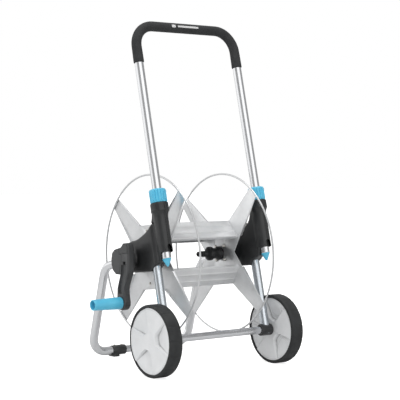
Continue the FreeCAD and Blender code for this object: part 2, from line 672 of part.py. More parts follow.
# ---- crank --------------------------------------------------------------------------------------
def crank_outline():
    """Side view of the crank: a rounded hub block with the arm hanging from its -Y half."""
    hub = [
        (135, 257.5), (157, 257.5), (170, 267), (177, 282), (178, 298), (174, 314), (164, 323),
        (133, 331), (122, 342), (103, 344), (96, 332), (94.5, 306), (94.5, 277), (97, 263),
        (106, 245), (113, 230), (115.5, 218), (114.5, 206),
    ]
    hub_points = [Vec(0, y, z) for y, z in hub]
    end_radius = 20.0
    left = Vec(0, CRANK_END_Y - end_radius, CRANK_END_Z + 3)
    bottom = Vec(0, CRANK_END_Y, CRANK_END_Z - end_radius)
    right = Vec(0, CRANK_END_Y + end_radius, CRANK_END_Z + 4)
    edges = Part.makePolygon(hub_points + [left]).Edges
    edges.append(Part.Arc(left, bottom, right).toShape())
    edges += Part.makePolygon([right, Vec(0, 148.5, 221), Vec(0, 141, 241), hub_points[0]]).Edges
    return Part.Wire(edges)


def crank_arm():
    """Moulded crank: hub block, hanging arm with a recessed face and a socket for the shaft."""
    body = x_prism(crank_outline(), -CRANK_X1, -CRANK_X0)
    hub = x_rod(-CRANK_X0 - 1, -CRANK_BOSS_X1 - 3.5, 27, REEL_Y, REEL_Z)
    body = fuse_all([body, hub])
    recess = [
        (103, 284), (127, 284), (129.5, 262), (136, 242), (141.5, 222), (140, 208), (121.5, 207),
        (117.5, 226), (110.5, 244), (105, 264),
    ]
    body = body.cut(x_prism(recess, -CRANK_X1 - 1, -CRANK_X1 + 5))
    body = body.cut(x_box(-CRANK_X1 - 1, -CRANK_X1 + 14, 107, 120, 285.5, 294))
    body = body.cut(x_prism(cover_outline(0), -CRANK_X1 - 1, -CRANK_X1 + 5))
    body = body.cut(x_prism(cap_outline(0), -CRANK_X1 - 1, -CRANK_X1 + 7))
    half = DRIVE_SQUARE / 2 + GAP
    shaft = x_box(-CRANK_BOSS_X1, -CRANK_X0 - 9.5, -half, half, -half, half)
    head = x_rod(-CRANK_X1, -CRANK_X1 + 9, 9, 0, 0)
    hole = x_rod(-CRANK_X1, -CRANK_X0, 3.1, 0, 0)
    pin = x_rod(-CRANK_X1 - 1, -CRANK_X0 + 1, CRANK_PIN_R, CRANK_END_Y, CRANK_END_Z)
    tools = [place_reel(tool) for tool in (shaft, head, hole)] + [pin]
    return cut_all(body, tools)


def cover_outline(inset):
    """Cover on the +Y half of the hub block, over the crank's screw."""
    points = [
        (126, 288), (132.5, 283), (135.5, 261), (156, 260.5), (167.5, 269), (174, 283), (175, 298),
        (171.5, 312), (162.5, 320), (137, 326.5), (137, 312.5), (126, 312.5),
    ]
    centre_y, centre_z = 150.0, 292.0
    scale = 1 - inset / 26.0
    return [(centre_y + (y - centre_y) * scale, centre_z + (z - centre_z) * scale) for y, z in points]


def cap_outline(inset):
    """Cap on the hub block's upper -Y corner."""
    return [
        (98.5 + inset, 315.5 + inset), (133.5 - inset, 315.5 + inset), (133.5 - inset, 327 - inset),
        (121 - inset, 339 - inset), (104 + inset, 341 - inset), (98.5 + inset, 332 - inset),
    ]


parts["crank_arm"] = crank_arm()
parts["crank_cover"] = x_prism(cover_outline(0.3), -CRANK_X1, -CRANK_X1 + 4.9)
parts["crank_cap"] = x_prism(cap_outline(0.3), -CRANK_X1 - 0.8, -CRANK_X1 + 6.9)
screw_head = x_rod(-CRANK_X1 + 5.4, -CRANK_X1 + 8.9, 6.0, 0, 0)
screw_shank = x_rod(-CRANK_X1 + 8.9, -182, 3.0, 0, 0)
parts["crank_screw"] = place_reel(fuse_all([screw_head, screw_shank]))


def crank_pin():
    """Steel pin riveted in the arm, with a head inside the grip's hollow end."""
    shank = x_rod(-CRANK_X0 - 1, -PIN_HEAD_X, CRANK_PIN_R, CRANK_END_Y, CRANK_END_Z)
    head = x_rod(-PIN_HEAD_X, -PIN_HEAD_X - 2.5, 7.0, CRANK_END_Y, CRANK_END_Z)
    return fuse_all([shank, head])


def crank_grip():
    """Tapered hollow grip, wider at the arm and open at its far end."""
    start = -CRANK_X1 - 0.5
    body = x_cone(start, -CRANK_GRIP_X1, 16.4, 14.2, CRANK_END_Y, CRANK_END_Z)
    hollow = x_rod(-PIN_HEAD_X + 0.5, -CRANK_GRIP_X1 - 1, 11.4, CRANK_END_Y, CRANK_END_Z)
    way = x_rod(start + 1, -CRANK_GRIP_X1, CRANK_PIN_R + RUNNING, CRANK_END_Y, CRANK_END_Z)
    return cut_all(body, [hollow, way])


parts["crank_pin"] = crank_pin()
parts["crank_grip"] = crank_grip()


# ---- wheels --------------------------------------------------------------------------------------
RIM_R = 86.4
RIM_INNER_R = 83.0
HUB_R = 16.0
WEB = 3.5
HUB_END_X = 213.5
COVER_X0 = 218.6
POCKET_R = 76.0
POCKET_INNER_R = 29.0
POCKET_HALF_ANGLE = 29.0
POCKET_HALF_INNER = 17.0
POCKET_DEPTH = 6.0
PAN_WALL = 2.4
POCKET_TURN = {-1: 48.5, 1: 103.0}   # degrees from +Y towards +Z of the first pocket's middle


def wheel_pockets(side, x0, x1, grow=0.0):
    """Three wedge-shaped recesses between three broad spokes, grown sideways by grow."""
    pockets = []
    for index in range(3):
        middle = POCKET_TURN[side] + 120 * index

        def polar(radius, angle):
            turn = math.radians(middle + angle)
            return Vec(0, radius * math.cos(turn), radius * math.sin(turn))

        outer_r = POCKET_R + grow
        inner_r = POCKET_INNER_R - grow
        half_outer = POCKET_HALF_ANGLE + math.degrees(grow / outer_r)
        half_inner = POCKET_HALF_INNER + math.degrees(grow / inner_r)
        outer_a, outer_b = polar(outer_r, -half_outer), polar(outer_r, half_outer)
        inner_a, inner_b = polar(inner_r, -half_inner), polar(inner_r, half_inner)
        edges = [
            Part.LineSegment(inner_a, outer_a).toShape(),
            Part.Arc(outer_a, polar(outer_r, 0), outer_b).toShape(),
            Part.LineSegment(outer_b, inner_b).toShape(),
            Part.Arc(inner_b, polar(inner_r - 5, 0), inner_a).toShape(),
        ]
        pocket = x_prism(Part.Wire(edges), side * x0, side * x1)
        pocket.translate(Vec(0, 0, AXLE_Z))
        upright = [edge for edge in pocket.Edges if abs(edge.tangentAt(edge.FirstParameter).x) > 0.9]
        pockets.append(pocket.makeFillet(6, upright))
    return pockets


def wheel_hub(side):
    """Rim, inner web and hub in one moulding, open towards the outer cover."""
    inner_x = WHEEL_OUT_X - WHEEL_WIDTH + 1.5
    rim = x_rod(side * inner_x, side * (COVER_X0 - GAP), RIM_R, 0, AXLE_Z)
    well = x_rod(side * (inner_x + WEB), side * COVER_X0, RIM_INNER_R, 0, AXLE_Z)
    hub = x_rod(side * (inner_x - 1), side * HUB_END_X, HUB_R, 0, AXLE_Z)
    pans = wheel_pockets(side, inner_x + WEB - 1, inner_x + POCKET_DEPTH + PAN_WALL, PAN_WALL)
    body = fuse_all([rim.cut(well), hub] + pans)
    body = cut_all(body, wheel_pockets(side, inner_x - 1, inner_x + POCKET_DEPTH))
    bore = x_rod(side * 180, side * 220, ROD_R + RUNNING, 0, AXLE_Z)
    clip_room = x_rod(side * 209, side * 220, 9.5, 0, AXLE_Z)
    return cut_all(body, [bore, clip_room])


def wheel_cover(side):
    """Outer cover of the wheel, snapped into the rim."""
    face = x_rod(side * COVER_X0, side * (WHEEL_OUT_X - 0.3), RIM_R, 0, AXLE_Z)
    skirt = x_rod(side * (COVER_X0 - 6), side * COVER_X0, RIM_INNER_R - 0.3, 0, AXLE_Z)
    skirt = skirt.cut(x_rod(side * (COVER_X0 - 6), side * COVER_X0, RIM_INNER_R - 2.5, 0, AXLE_Z))
    pans = wheel_pockets(side, WHEEL_OUT_X - POCKET_DEPTH - PAN_WALL, COVER_X0 + 1, PAN_WALL)
    body = fuse_all([face, skirt] + pans)
    return cut_all(body, wheel_pockets(side, WHEEL_OUT_X - POCKET_DEPTH, WHEEL_OUT_X))


def tyre(side):
    inner, outer = WHEEL_OUT_X - WHEEL_WIDTH, WHEEL_OUT_X
    profile = [
        (inner + 0.5, RIM_R + GAP), (inner, RIM_R + 2), (inner + 1.5, WHEEL_R - 2), (inner + 5, WHEEL_R),
        (outer - 5, WHEEL_R), (outer - 1.5, WHEEL_R - 2), (outer, RIM_R + 2), (outer - 0.5, RIM_R + GAP),
    ]
    return x_revolve([(side * x, radius) for x, radius in profile], 0, AXLE_Z)


for side in (-1, 1):
    name = side_name(side)
    parts["wheel_hub_" + name] = wheel_hub(side)
    parts["wheel_cover_" + name] = wheel_cover(side)
    parts["tyre_" + name] = tyre(side)


# ---- one STEP file per sub-part --------------------------------------------------------------------
os.makedirs("parts", exist_ok=True)
for name, shape in parts.items():
    shape.exportStep("parts/" + name + ".step")
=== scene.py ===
import json
import math

import bmesh
import bpy
import numpy as np
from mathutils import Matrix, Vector


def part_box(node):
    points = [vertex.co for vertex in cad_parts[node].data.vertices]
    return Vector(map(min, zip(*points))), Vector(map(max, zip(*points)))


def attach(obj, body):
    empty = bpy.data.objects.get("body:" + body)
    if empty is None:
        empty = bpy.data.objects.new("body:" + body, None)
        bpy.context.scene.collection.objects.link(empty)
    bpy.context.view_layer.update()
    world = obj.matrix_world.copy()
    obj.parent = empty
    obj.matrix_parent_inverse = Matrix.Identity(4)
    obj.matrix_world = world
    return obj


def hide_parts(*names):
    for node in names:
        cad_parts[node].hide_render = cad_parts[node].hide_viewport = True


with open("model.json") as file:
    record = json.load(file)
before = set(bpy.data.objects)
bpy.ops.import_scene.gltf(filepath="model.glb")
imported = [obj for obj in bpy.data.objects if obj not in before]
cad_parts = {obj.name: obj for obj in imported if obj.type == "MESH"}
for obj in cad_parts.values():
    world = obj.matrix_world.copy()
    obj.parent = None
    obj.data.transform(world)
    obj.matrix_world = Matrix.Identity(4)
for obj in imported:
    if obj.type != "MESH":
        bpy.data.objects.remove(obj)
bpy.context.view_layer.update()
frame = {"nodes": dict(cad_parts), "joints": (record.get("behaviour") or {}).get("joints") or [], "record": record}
NODES = frame["nodes"]
JOINTS = {joint["name"]: joint for joint in frame["joints"]}
SIDES = (("left", -1), ("right", 1))
X_AXIS = Vector((1, 0, 0))

REEL = Vector(JOINTS["reel_spin"]["pos_m"])
HANDLE_DIR = Vector(JOINTS["handle_slide"]["axis"]).normalized()
AXLE_Z = JOINTS["left_wheel_spin"]["pos_m"][2]
GRIP_AXIS = Vector(JOINTS["crank_grip_spin"]["pos_m"])
REEL_TURN = math.radians(-6.6)      # how far the reel stands turned in the photo
LEG_GRAIN_LEAN = 0.2426             # radians, the lean of the wheel legs' drawing marks


# ---- materials ----
class Shader:
    """A principled material whose colour, roughness and bump come from procedural noise."""

    COAT_ROUGH = 0.2

    def __init__(self, name, rough, metallic=0.0, specular=0.5, coat=0.0):
        self.material = bpy.data.materials.new(name)
        self.material.use_nodes = True
        self.tree = self.material.node_tree
        self.shader = self.tree.nodes["Principled BSDF"]
        self.shader.inputs["Metallic"].default_value = metallic
        self.shader.inputs["Roughness"].default_value = rough
        self.shader.inputs["Specular IOR Level"].default_value = specular
        self.shader.inputs["Coat Weight"].default_value = coat
        self.shader.inputs["Coat Roughness"].default_value = self.COAT_ROUGH
        self.coords = self.tree.nodes.new("ShaderNodeTexCoord")
        self.last_normal = None

    def node(self, kind, **values):
        made = self.tree.nodes.new(kind)
        for key, value in values.items():
            if hasattr(made, key):
                setattr(made, key, value)
            else:
                made.inputs[key].default_value = value
        return made

    def link(self, source, target):
        self.tree.links.new(source, target)

    def noise(self, scale, stretch=(1, 1, 1), detail=3.0, roughness=0.5, source="Object", lean=0.0):
        """Noise value whose grain is `scale` cells per metre, stretched along an axis."""
        mapping = self.node("ShaderNodeMapping")
        mapping.inputs["Scale"].default_value = stretch
        mapping.inputs["Rotation"].default_value = (lean, 0, 0)
        self.link(self.coords.outputs[source], mapping.inputs["Vector"])
        noise = self.node("ShaderNodeTexNoise", Scale=scale, Detail=detail, Roughness=roughness)
        self.link(mapping.outputs["Vector"], noise.inputs["Vector"])
        return noise.outputs["Fac"]

    def cells(self, scale):
        voronoi = self.node("ShaderNodeTexVoronoi", Scale=scale)
        self.link(self.coords.outputs["Object"], voronoi.inputs["Vector"])
        return voronoi

    def ramp(self, value, low, high, start=0.3, end=0.7):
        """Maps a value between start and end onto the range low to high."""
        spread = self.node("ShaderNodeMapRange")
        spread.inputs["From Min"].default_value = start
        spread.inputs["From Max"].default_value = end
        spread.inputs["To Min"].default_value = low
        spread.inputs["To Max"].default_value = high
        self.link(value, spread.inputs["Value"])
        return spread.outputs["Result"]

    def mix(self, factor, first, second, blend="MIX"):
        mixer = self.node("ShaderNodeMix", data_type="RGBA", blend_type=blend)
        for socket, value in ((0, factor), (6, first), (7, second)):
            if isinstance(value, bpy.types.NodeSocket):
                self.link(value, mixer.inputs[socket])
            else:
                mixer.inputs[socket].default_value = value
        return mixer.outputs[2]

    def colour(self, value):
        if isinstance(value, bpy.types.NodeSocket):
            self.link(value, self.shader.inputs["Base Color"])
        else:
            self.shader.inputs["Base Color"].default_value = value

    def rough(self, value):
        self.link(value, self.shader.inputs["Roughness"])

    def bump(self, value, distance, strength=1.0):
        made = self.node("ShaderNodeBump", Strength=strength, Distance=distance)
        self.link(value, made.inputs["Height"])
        if self.last_normal is not None:
            self.link(self.last_normal, made.inputs["Normal"])
        self.last_normal = made.outputs["Normal"]
        self.link(self.last_normal, self.shader.inputs["Normal"])

    def edges(self, low=0.52, high=0.62):
        """Nearly 1 on convex edges and 0 elsewhere, for rubbed edges."""
        geometry = self.node("ShaderNodeNewGeometry")
        return self.ramp(geometry.outputs["Pointiness"], 0.0, 1.0, low, high)

    def corner_shade(self, amount):
        """Amount in inner corners and 0 elsewhere, a mask for painted shade that darkens those corners."""
        geometry = self.node("ShaderNodeNewGeometry")
        return self.ramp(geometry.outputs["Pointiness"], amount, 0.0, 0.42, 0.492)


def rgb(red, green, blue):
    """Linear colour from display values between 0 and 255."""
    def linear(value):
        value = value / 255
        return value / 12.92 if value <= 0.04045 else ((value + 0.055) / 1.055) ** 2.4
    return (linear(red), linear(green), linear(blue), 1.0)


def moulded(name, base, light, rough, grain=2600, grain_height=0.00006, coat=0.0, wear=0.35, painted_shade=0.0):
    """Moulded plastic: fine grain, faint clouding, a slightly rubbed edge, and optional painted shade in inner
    corners.
    """
    made = Shader(name, rough, coat=coat)
    cloud = made.noise(22, detail=4)
    streak = made.noise(160, stretch=(1, 0.2, 1), detail=2)
    tone = made.mix(made.ramp(cloud, 0, 1), base, light)
    tone = made.mix(made.ramp(streak, 0, 0.25), tone, light)
    rub = made.edges()
    rubbed = tuple(min(1, c * 1.8 + 0.01) for c in light[:3]) + (1,)
    tone = made.mix(made.mix(wear, (0, 0, 0, 1), rub), tone, rubbed)
    # painted shade: inner corners darkened towards near black
    if painted_shade:
        tone = made.mix(made.corner_shade(painted_shade), tone, (0.10, 0.10, 0.10, 1))
    made.colour(tone)
    made.rough(made.ramp(made.noise(70, detail=4), rough - 0.07, rough + 0.08))
    made.bump(made.noise(grain, detail=2), grain_height, 0.5)
    made.bump(made.noise(35, detail=1), 0.0004, 0.12)
    return made.material


def drawn_metal(name, base, light, rough, lengthwise, coords="Object", lean=0.0):
    """Polished drawn tube: hair-fine marks along its length and a few faint rubs."""
    made = Shader(name, rough, metallic=1.0)
    marks = made.noise(900, stretch=lengthwise, detail=3, source=coords, lean=lean)
    rubs = made.noise(30, detail=5, roughness=0.65, source=coords)
    made.colour(made.mix(made.ramp(marks, 0, 1), base, light))
    made.rough(made.ramp(rubs, rough - 0.04, rough + 0.05))
    made.bump(marks, 0.000003, 0.06)
    return made.material


def galvanised(name, base, light, rough):
    """Satin zinc-coated sheet: faint spangle, rolling marks and soft clouds."""
    made = Shader(name, rough, metallic=0.75, specular=0.6)
    spangle = made.cells(90)
    cloud = made.noise(14, detail=5)
    tone = made.mix(made.ramp(cloud, 0, 1), base, light)
    tone = made.mix(made.ramp(spangle.outputs["Distance"], 0.0, 0.22, 0.0, 0.7), tone, light)
    made.colour(tone)
    made.rough(made.ramp(made.noise(120, stretch=(0.15, 1, 1), detail=4), rough - 0.08, rough + 0.1))
    made.bump(made.noise(700, stretch=(0.1, 1, 1), detail=2), 0.00003, 0.35)
    made.bump(made.noise(9, detail=2), 0.0012, 0.10)
    return made.material


def rubber(name, base, light, rough, grain=1500, height=0.0001):
    made = Shader(name, rough, specular=0.35)
    dust = made.noise(26, detail=5, roughness=0.6)
    made.colour(made.mix(made.ramp(dust, 0, 1, 0.35, 0.75), base, light))
    made.rough(made.ramp(made.noise(50, detail=3), rough - 0.08, rough + 0.08))
    made.bump(made.noise(grain, detail=3), height, 0.6)
    return made.material


def foam(name, base, light):
    """Closed-cell foam sleeve: a dense field of small pores."""
    made = Shader(name, 0.75, specular=0.3)
    pores = made.cells(1300)
    soft = made.noise(40, detail=4)
    made.colour(made.mix(made.ramp(soft, 0, 1), base, light))
    made.rough(made.ramp(soft, 0.66, 0.84))
    made.bump(pores.outputs["Distance"], 0.0002, 0.6)
    made.bump(made.noise(60, detail=2), 0.0005, 0.2)
    return made.material


BLACK = moulded("black_plastic", rgb(34, 35, 36), rgb(44, 45, 46), 0.35)
CRANK = moulded("crank_plastic", rgb(56, 57, 58), rgb(68, 69, 70), 0.38)
BLUE = moulded("blue_plastic", rgb(72, 180, 218), rgb(100, 200, 232), 0.34, coat=0.2, wear=0.25)
BUSH = moulded("bush_plastic", rgb(205, 205, 200), rgb(220, 220, 216), 0.4)
# the wheel plastic gets painted shade darkening its inner corners
WHEEL = moulded("wheel_plastic", rgb(222, 223, 224), rgb(234, 235, 236), 0.46, wear=0.15,
                painted_shade=0.75)
TUBE = drawn_metal("tube_metal", rgb(224, 225, 227), rgb(236, 237, 239), 0.19, (0.02, 0.5, 1), "UV")
BAR = drawn_metal("bar_metal", rgb(214, 215, 218), rgb(230, 231, 234), 0.20, (0.04, 1, 1))
LEG = drawn_metal("leg_metal", rgb(196, 202, 208), rgb(218, 224, 229), 0.17, (1, 1, 0.04),
                  lean=LEG_GRAIN_LEAN)
SHEET = galvanised("sheet_metal", rgb(216, 217, 218), rgb(237, 238, 239), 0.38)
WIRE = drawn_metal("wire_metal", rgb(206, 207, 208), rgb(226, 227, 228), 0.30, (1, 1, 1))
STEEL = drawn_metal("axle_steel", rgb(150, 150, 152), rgb(180, 180, 182), 0.32, (0.05, 1, 1))
ZINC = drawn_metal("fastener_steel", rgb(196, 194, 186), rgb(216, 214, 208), 0.28, (1, 1, 1))
TYRE = rubber("tyre_rubber", rgb(40, 41, 42), rgb(56, 57, 58), 0.60)
SEAL = rubber("seal_rubber", rgb(24, 24, 25), rgb(34, 34, 35), 0.45)
PRINT = moulded("print_white", rgb(206, 206, 206), rgb(222, 222, 222), 0.6, wear=0.1)
FOAM = foam("grip_foam", rgb(44, 45, 46), rgb(57, 58, 59))

SLOT_MATERIALS = {
    "aluminium_tube": TUBE, "galvanised_sheet": SHEET, "ring_wire": WIRE, "axle_steel": STEEL,
    "fastener_steel": ZINC, "black_plastic": BLACK, "crank_plastic": CRANK, "blue_plastic": BLUE,
    "bush_plastic": BUSH, "grip_foam": FOAM, "seal_rubber": SEAL, "tyre_rubber": TYRE,
    "wheel_plastic": WHEEL,
}
NODE_SLOTS = {part["node"]: part["material_slot"] for part in frame["record"]["subparts"]}

for name, obj in NODES.items():
    obj.data.materials.clear()
    obj.data.materials.append(SLOT_MATERIALS[NODE_SLOTS[name]])


# ---- mesh building ----
def add_mesh(name, verts, faces, material, body, nodes=(), uvs=None, sharp=None):
    """Makes one piece in the row frame, from vertices in metres."""
    mesh = bpy.data.meshes.new(name)
    mesh.from_pydata([tuple(v) for v in verts], [], [tuple(int(i) for i in f) for f in faces])
    mesh.materials.append(material)
    shell = bmesh.new()
    shell.from_mesh(mesh)
    bmesh.ops.recalc_face_normals(shell, faces=shell.faces)
    shell.to_mesh(mesh)
    shell.free()
    if uvs is not None:
        layer = mesh.uv_layers.new(name="UVMap")
        flat = np.array(uvs, np.float32)[[loop.vertex_index for loop in mesh.loops]]
        layer.data.foreach_set("uv", flat.ravel())
    mesh.shade_smooth()
    if sharp is not None:
        mesh.set_sharp_from_angle(angle=math.radians(sharp))
    mesh.validate()
    obj = bpy.data.objects.new(name, mesh)
    bpy.context.scene.collection.objects.link(obj)
    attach(obj, body)
    if nodes:
        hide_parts(*nodes)
    return obj


def rounded_path(points, bend, steps=14):
    """Points along straight runs joined by tangent arcs."""
    path = [points[0].copy()]
    for before, corner, after in zip(points, points[1:], points[2:]):
        back, ahead = (before - corner).normalized(), (after - corner).normalized()
        half = back.angle(ahead) / 2
        centre = corner + (back + ahead).normalized() * (bend / math.sin(half))
        start = corner + back * (bend / math.tan(half)) - centre
        end = corner + ahead * (bend / math.tan(half)) - centre
        total = start.angle(end)
        path.append(centre + start + back * 0.003)
        for step in range(steps + 1):
            turn = total * step / steps
            share = (math.sin(total - turn) * start + math.sin(turn) * end) / math.sin(total)
            path.append(centre + share)
        path.append(centre + end + ahead * 0.003)
    path.append(points[-1].copy())
    return path


def insert_near_ends(path, distance):
    first = path[0] + (path[1] - path[0]).normalized() * distance
    last = path[-1] + (path[-2] - path[-1]).normalized() * distance
    return [path[0], first] + path[1:-1] + [last, path[-1]]


def tube(name, points, outer, inner, body, nodes, material=None, bend=0.06,
         lip=0.0008, segments=56, swell=None):
    """Hollow tube along rounded runs, with softly broken ends."""
    path = rounded_path(points, bend) if len(points) > 2 else [points[0].copy(), points[-1].copy()]
    path = insert_near_ends(insert_near_ends(path, lip + 0.002), lip)
    tangents = []
    for index in range(len(path)):
        ahead = path[min(index + 1, len(path) - 1)] - path[max(index - 1, 0)]
        tangents.append(ahead.normalized())
    side = tangents[0].orthogonal().normalized()
    lengths, length = [], 0.0
    frames = []
    for index, (point, tangent) in enumerate(zip(path, tangents)):
        side = (side - tangent * side.dot(tangent)).normalized()
        frames.append((point, side, tangent.cross(side)))
        if index:
            length += (point - path[index - 1]).length
        lengths.append(length)
    count = len(path)
    order = [(i, outer - (lip if i in (0, count - 1) else 0)) for i in range(count)]
    order += [(i, inner) for i in range(count - 1, -1, -1)]
    verts, uvs = [], []
    for index, radius in order:
        point, across, up = frames[index]
        if swell is not None and radius > inner:
            radius += swell(lengths[index], length)
        for step in range(segments):
            angle = 2 * math.pi * step / segments
            verts.append(point + across * (radius * math.cos(angle)) + up * (radius * math.sin(angle)))
            uvs.append((lengths[index], radius * abs(angle - math.pi)))
    faces = []
    total = len(order)
    for ring in range(total):
        ahead = (ring + 1) % total
        for step in range(segments):
            after = (step + 1) % segments
            faces.append((ring * segments + step, ring * segments + after,
                          ahead * segments + after, ahead * segments + step))
    return add_mesh(name, verts, faces, material or TUBE, body, nodes, uvs, 50)


def lathe(name, profile, base, axis, material, body, nodes=(), segments=96, radial=None, sharp=38):
    """Closed profile of (along, radius) in mm turned about an axis through base."""
    across = axis.orthogonal().normalized()
    up = axis.cross(across)
    verts, faces = [], []
    count = len(profile)
    for step in range(segments):
        angle = 2 * math.pi * step / segments
        spoke = across * math.cos(angle) + up * math.sin(angle)
        for along, radius in profile:
            grown = radial(along, radius, angle) if radial else radius
            verts.append(base + axis * (along / 1000) + spoke * (grown / 1000))
        after = (step + 1) % segments
        for index in range(count):
            ahead = (index + 1) % count
            faces.append((step * count + index, step * count + ahead,
                          after * count + ahead, after * count + index))
    return add_mesh(name, verts, faces, material, body, nodes, None, sharp)


# ---- solids from distance fields ----
class Field:
    """Signed distances in millimetres; X is mirrored by side so that both sides share a shape."""

    @staticmethod
    def union(first, second, blend=0.0):
        if blend <= 0:
            return np.minimum(first, second)
        share = np.clip(0.5 + 0.5 * (second - first) / blend, 0, 1)
        return second * (1 - share) + first * share - blend * share * (1 - share)

    @staticmethod
    def meet(first, second, blend=0.0):
        return -Field.union(-first, -second, blend)

    @staticmethod
    def cut(first, second, blend=0.0):
        return Field.meet(first, -second, blend)

    @staticmethod
    def rod(p, start, end, radius, end_radius=None, blend=0.0):
        start, end = np.array(start, float), np.array(end, float)
        axis = end - start
        length = np.linalg.norm(axis)
        axis = axis / length
        rel = [p[i] - start[i] for i in range(3)]
        along = sum(rel[i] * axis[i] for i in range(3))
        off = np.sqrt(np.maximum(sum(r * r for r in rel) - along ** 2, 0))
        slope = 0 if end_radius is None else (end_radius - radius) / length
        wall = (off - (radius + slope * along)) / math.sqrt(1 + slope ** 2)
        return Field.meet(wall, np.maximum(-along, along - length), blend)

    @staticmethod
    def slab(value, low, high):
        return np.maximum(low - value, value - high)

    @staticmethod
    def polygon(y, z, points):
        """Signed distance in the plane to a closed outline."""
        y, z = np.broadcast_arrays(y, z)
        best = np.full(y.shape, 1e9)
        inside = np.zeros(y.shape, bool)
        for (y0, z0), (y1, z1) in zip(points, points[1:] + points[:1]):
            ey, ez = y1 - y0, z1 - z0
            t = np.clip(((y - y0) * ey + (z - z0) * ez) / (ey * ey + ez * ez), 0, 1)
            best = np.minimum(best, (y - y0 - t * ey) ** 2 + (z - z0 - t * ez) ** 2)
            if z0 != z1:
                crosses = ((z0 <= z) != (z1 <= z)) & (y < y0 + (z - z0) * ey / ez)
                inside ^= crosses
        return np.where(inside, -1, 1) * np.sqrt(best)


def surface_net(field, low, step):
    """Closed quad mesh on the zero level of a sampled distance field."""
    inside = field < 0
    shape = tuple(n - 1 for n in field.shape)
    total, count = np.zeros(shape + (3,)), np.zeros(shape)
    for axis in range(3):
        others = [i for i in range(3) if i != axis]
        for a in (0, 1):
            for b in (0, 1):
                corner = [0, 0, 0]
                corner[others[0]], corner[others[1]] = a, b
                begin = tuple(slice(c, c + n) for c, n in zip(corner, shape))
                corner_end = list(corner)
                corner_end[axis] = 1
                finish = tuple(slice(c, c + n) for c, n in zip(corner_end, shape))
                f0, f1 = field[begin], field[finish]
                cross = inside[begin] != inside[finish]
                share = np.where(cross, f0 / np.where(cross, f0 - f1, 1), 0)
                for i in range(3):
                    total[..., i] += cross * (share if i == axis else corner[i])
                count += cross
    used = count > 0
    index = np.full(shape, -1)
    index[used] = np.arange(used.sum())
    verts = (np.argwhere(used) + total[used] / count[used][:, None]) * step + np.array(low)
    quads = []
    for axis in range(3):
        a, b = (axis + 1) % 3, (axis + 2) % 3
        begin, finish = [slice(None)] * 3, [slice(None)] * 3
        begin[axis], finish[axis] = slice(0, -1), slice(1, None)
        for other in (a, b):
            begin[other] = finish[other] = slice(1, -1)
        start_in, end_in = inside[tuple(begin)], inside[tuple(finish)]
        cross = start_in != end_in
        cell = np.argwhere(cross)
        cell[:, a] += 1
        cell[:, b] += 1

        def at(da, db):
            moved = cell.copy()
            moved[:, a] -= da
            moved[:, b] -= db
            return index[moved[:, 0], moved[:, 1], moved[:, 2]]

        quad = np.stack([at(1, 1), at(0, 1), at(0, 0), at(1, 0)], 1)
        quad[~start_in[cross]] = quad[~start_in[cross]][:, ::-1]
        quads.append(quad)
    return verts, np.concatenate(quads)


def field_piece(name, shape, low, high, step, side, material, body, nodes, ratio=0.4):
    """Samples a distance function in a box (mm, mirrored by side) and makes it a piece."""
    axes = [np.arange(a - 2 * step, b + 2 * step, step) for a, b in zip(low, high)]
    grid = (axes[0][:, None, None], axes[1][None, :, None], axes[2][None, None, :])
    field = np.broadcast_to(shape(grid), tuple(len(a) for a in axes)).copy()
    verts, quads = surface_net(field, [a[0] for a in axes], step)
    for _ in range(3):
        here = shape(tuple(verts.T))
        slope = np.stack([
            shape(tuple((verts + np.eye(3)[i] * 0.05).T)) - shape(tuple((verts - np.eye(3)[i] * 0.05).T))
            for i in range(3)], 1) / 0.1
        steep = np.maximum((slope ** 2).sum(1), 0.3)
        move = -here[:, None] * slope / steep[:, None]
        size = np.linalg.norm(move, axis=1, keepdims=True)
        verts = verts + move * np.minimum(1, 0.35 * step / np.maximum(size, 1e-9))
    verts = verts / 1000
    verts[:, 0] *= side
    if side < 0:
        quads = quads[:, ::-1]
    obj = add_mesh(name, verts, quads, material, body, nodes)
    if ratio < 1:
        thin = obj.modifiers.new("thin", "DECIMATE")
        thin.ratio = ratio
    return obj


# ---- tubes ----
TUBE_R, TUBE_INNER = 0.012, 0.0105
tube_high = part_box("handle_tube")[1]
SIDE_X = tube_high.x - TUBE_R
LEAN = math.atan2(HANDLE_DIR.y, HANDLE_DIR.z)
nut_point = Vector(JOINTS["left_nut_turn"]["pos_m"])


def handle_at(x, z):
    """Point of a handle leg's centre line."""
    return Vector((x, nut_point.y + (z - nut_point.z) * math.tan(LEAN), z))


def leg_at(x, z):
    return Vector((x, (z - AXLE_Z) * math.tan(LEAN), z))


bar_z = tube_high.z - TUBE_R
plug_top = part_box("handle_plug_left")[0].z + 0.020
handle_points = [handle_at(-SIDE_X, plug_top), handle_at(-SIDE_X, bar_z), handle_at(SIDE_X, bar_z),
                 handle_at(SIDE_X, plug_top)]
tube("handle_tube_drawn", handle_points, TUBE_R, TUBE_INNER, "handle", ["handle_tube"], bend=0.06)

GRIP_END_Z = 0.820
FOAM_R, FOAM_INNER = 0.0140, 0.01206
grip_points = [handle_at(-SIDE_X, GRIP_END_Z), handle_at(-SIDE_X, bar_z), handle_at(SIDE_X, bar_z),
               handle_at(SIDE_X, GRIP_END_Z)]


def grip_swell(at, length):
    """The sleeve is a touch fuller near its cuffs."""
    near = min(at, length - at)
    return -0.0005 * (1 - math.exp(-near / 0.03)) + 0.0003 * math.exp(-((near - 0.006) / 0.004) ** 2)


tube("handle_grip_foam", grip_points, FOAM_R, FOAM_INNER, "handle", ["handle_grip"], FOAM,
     bend=0.06, lip=0.0022, swell=grip_swell)

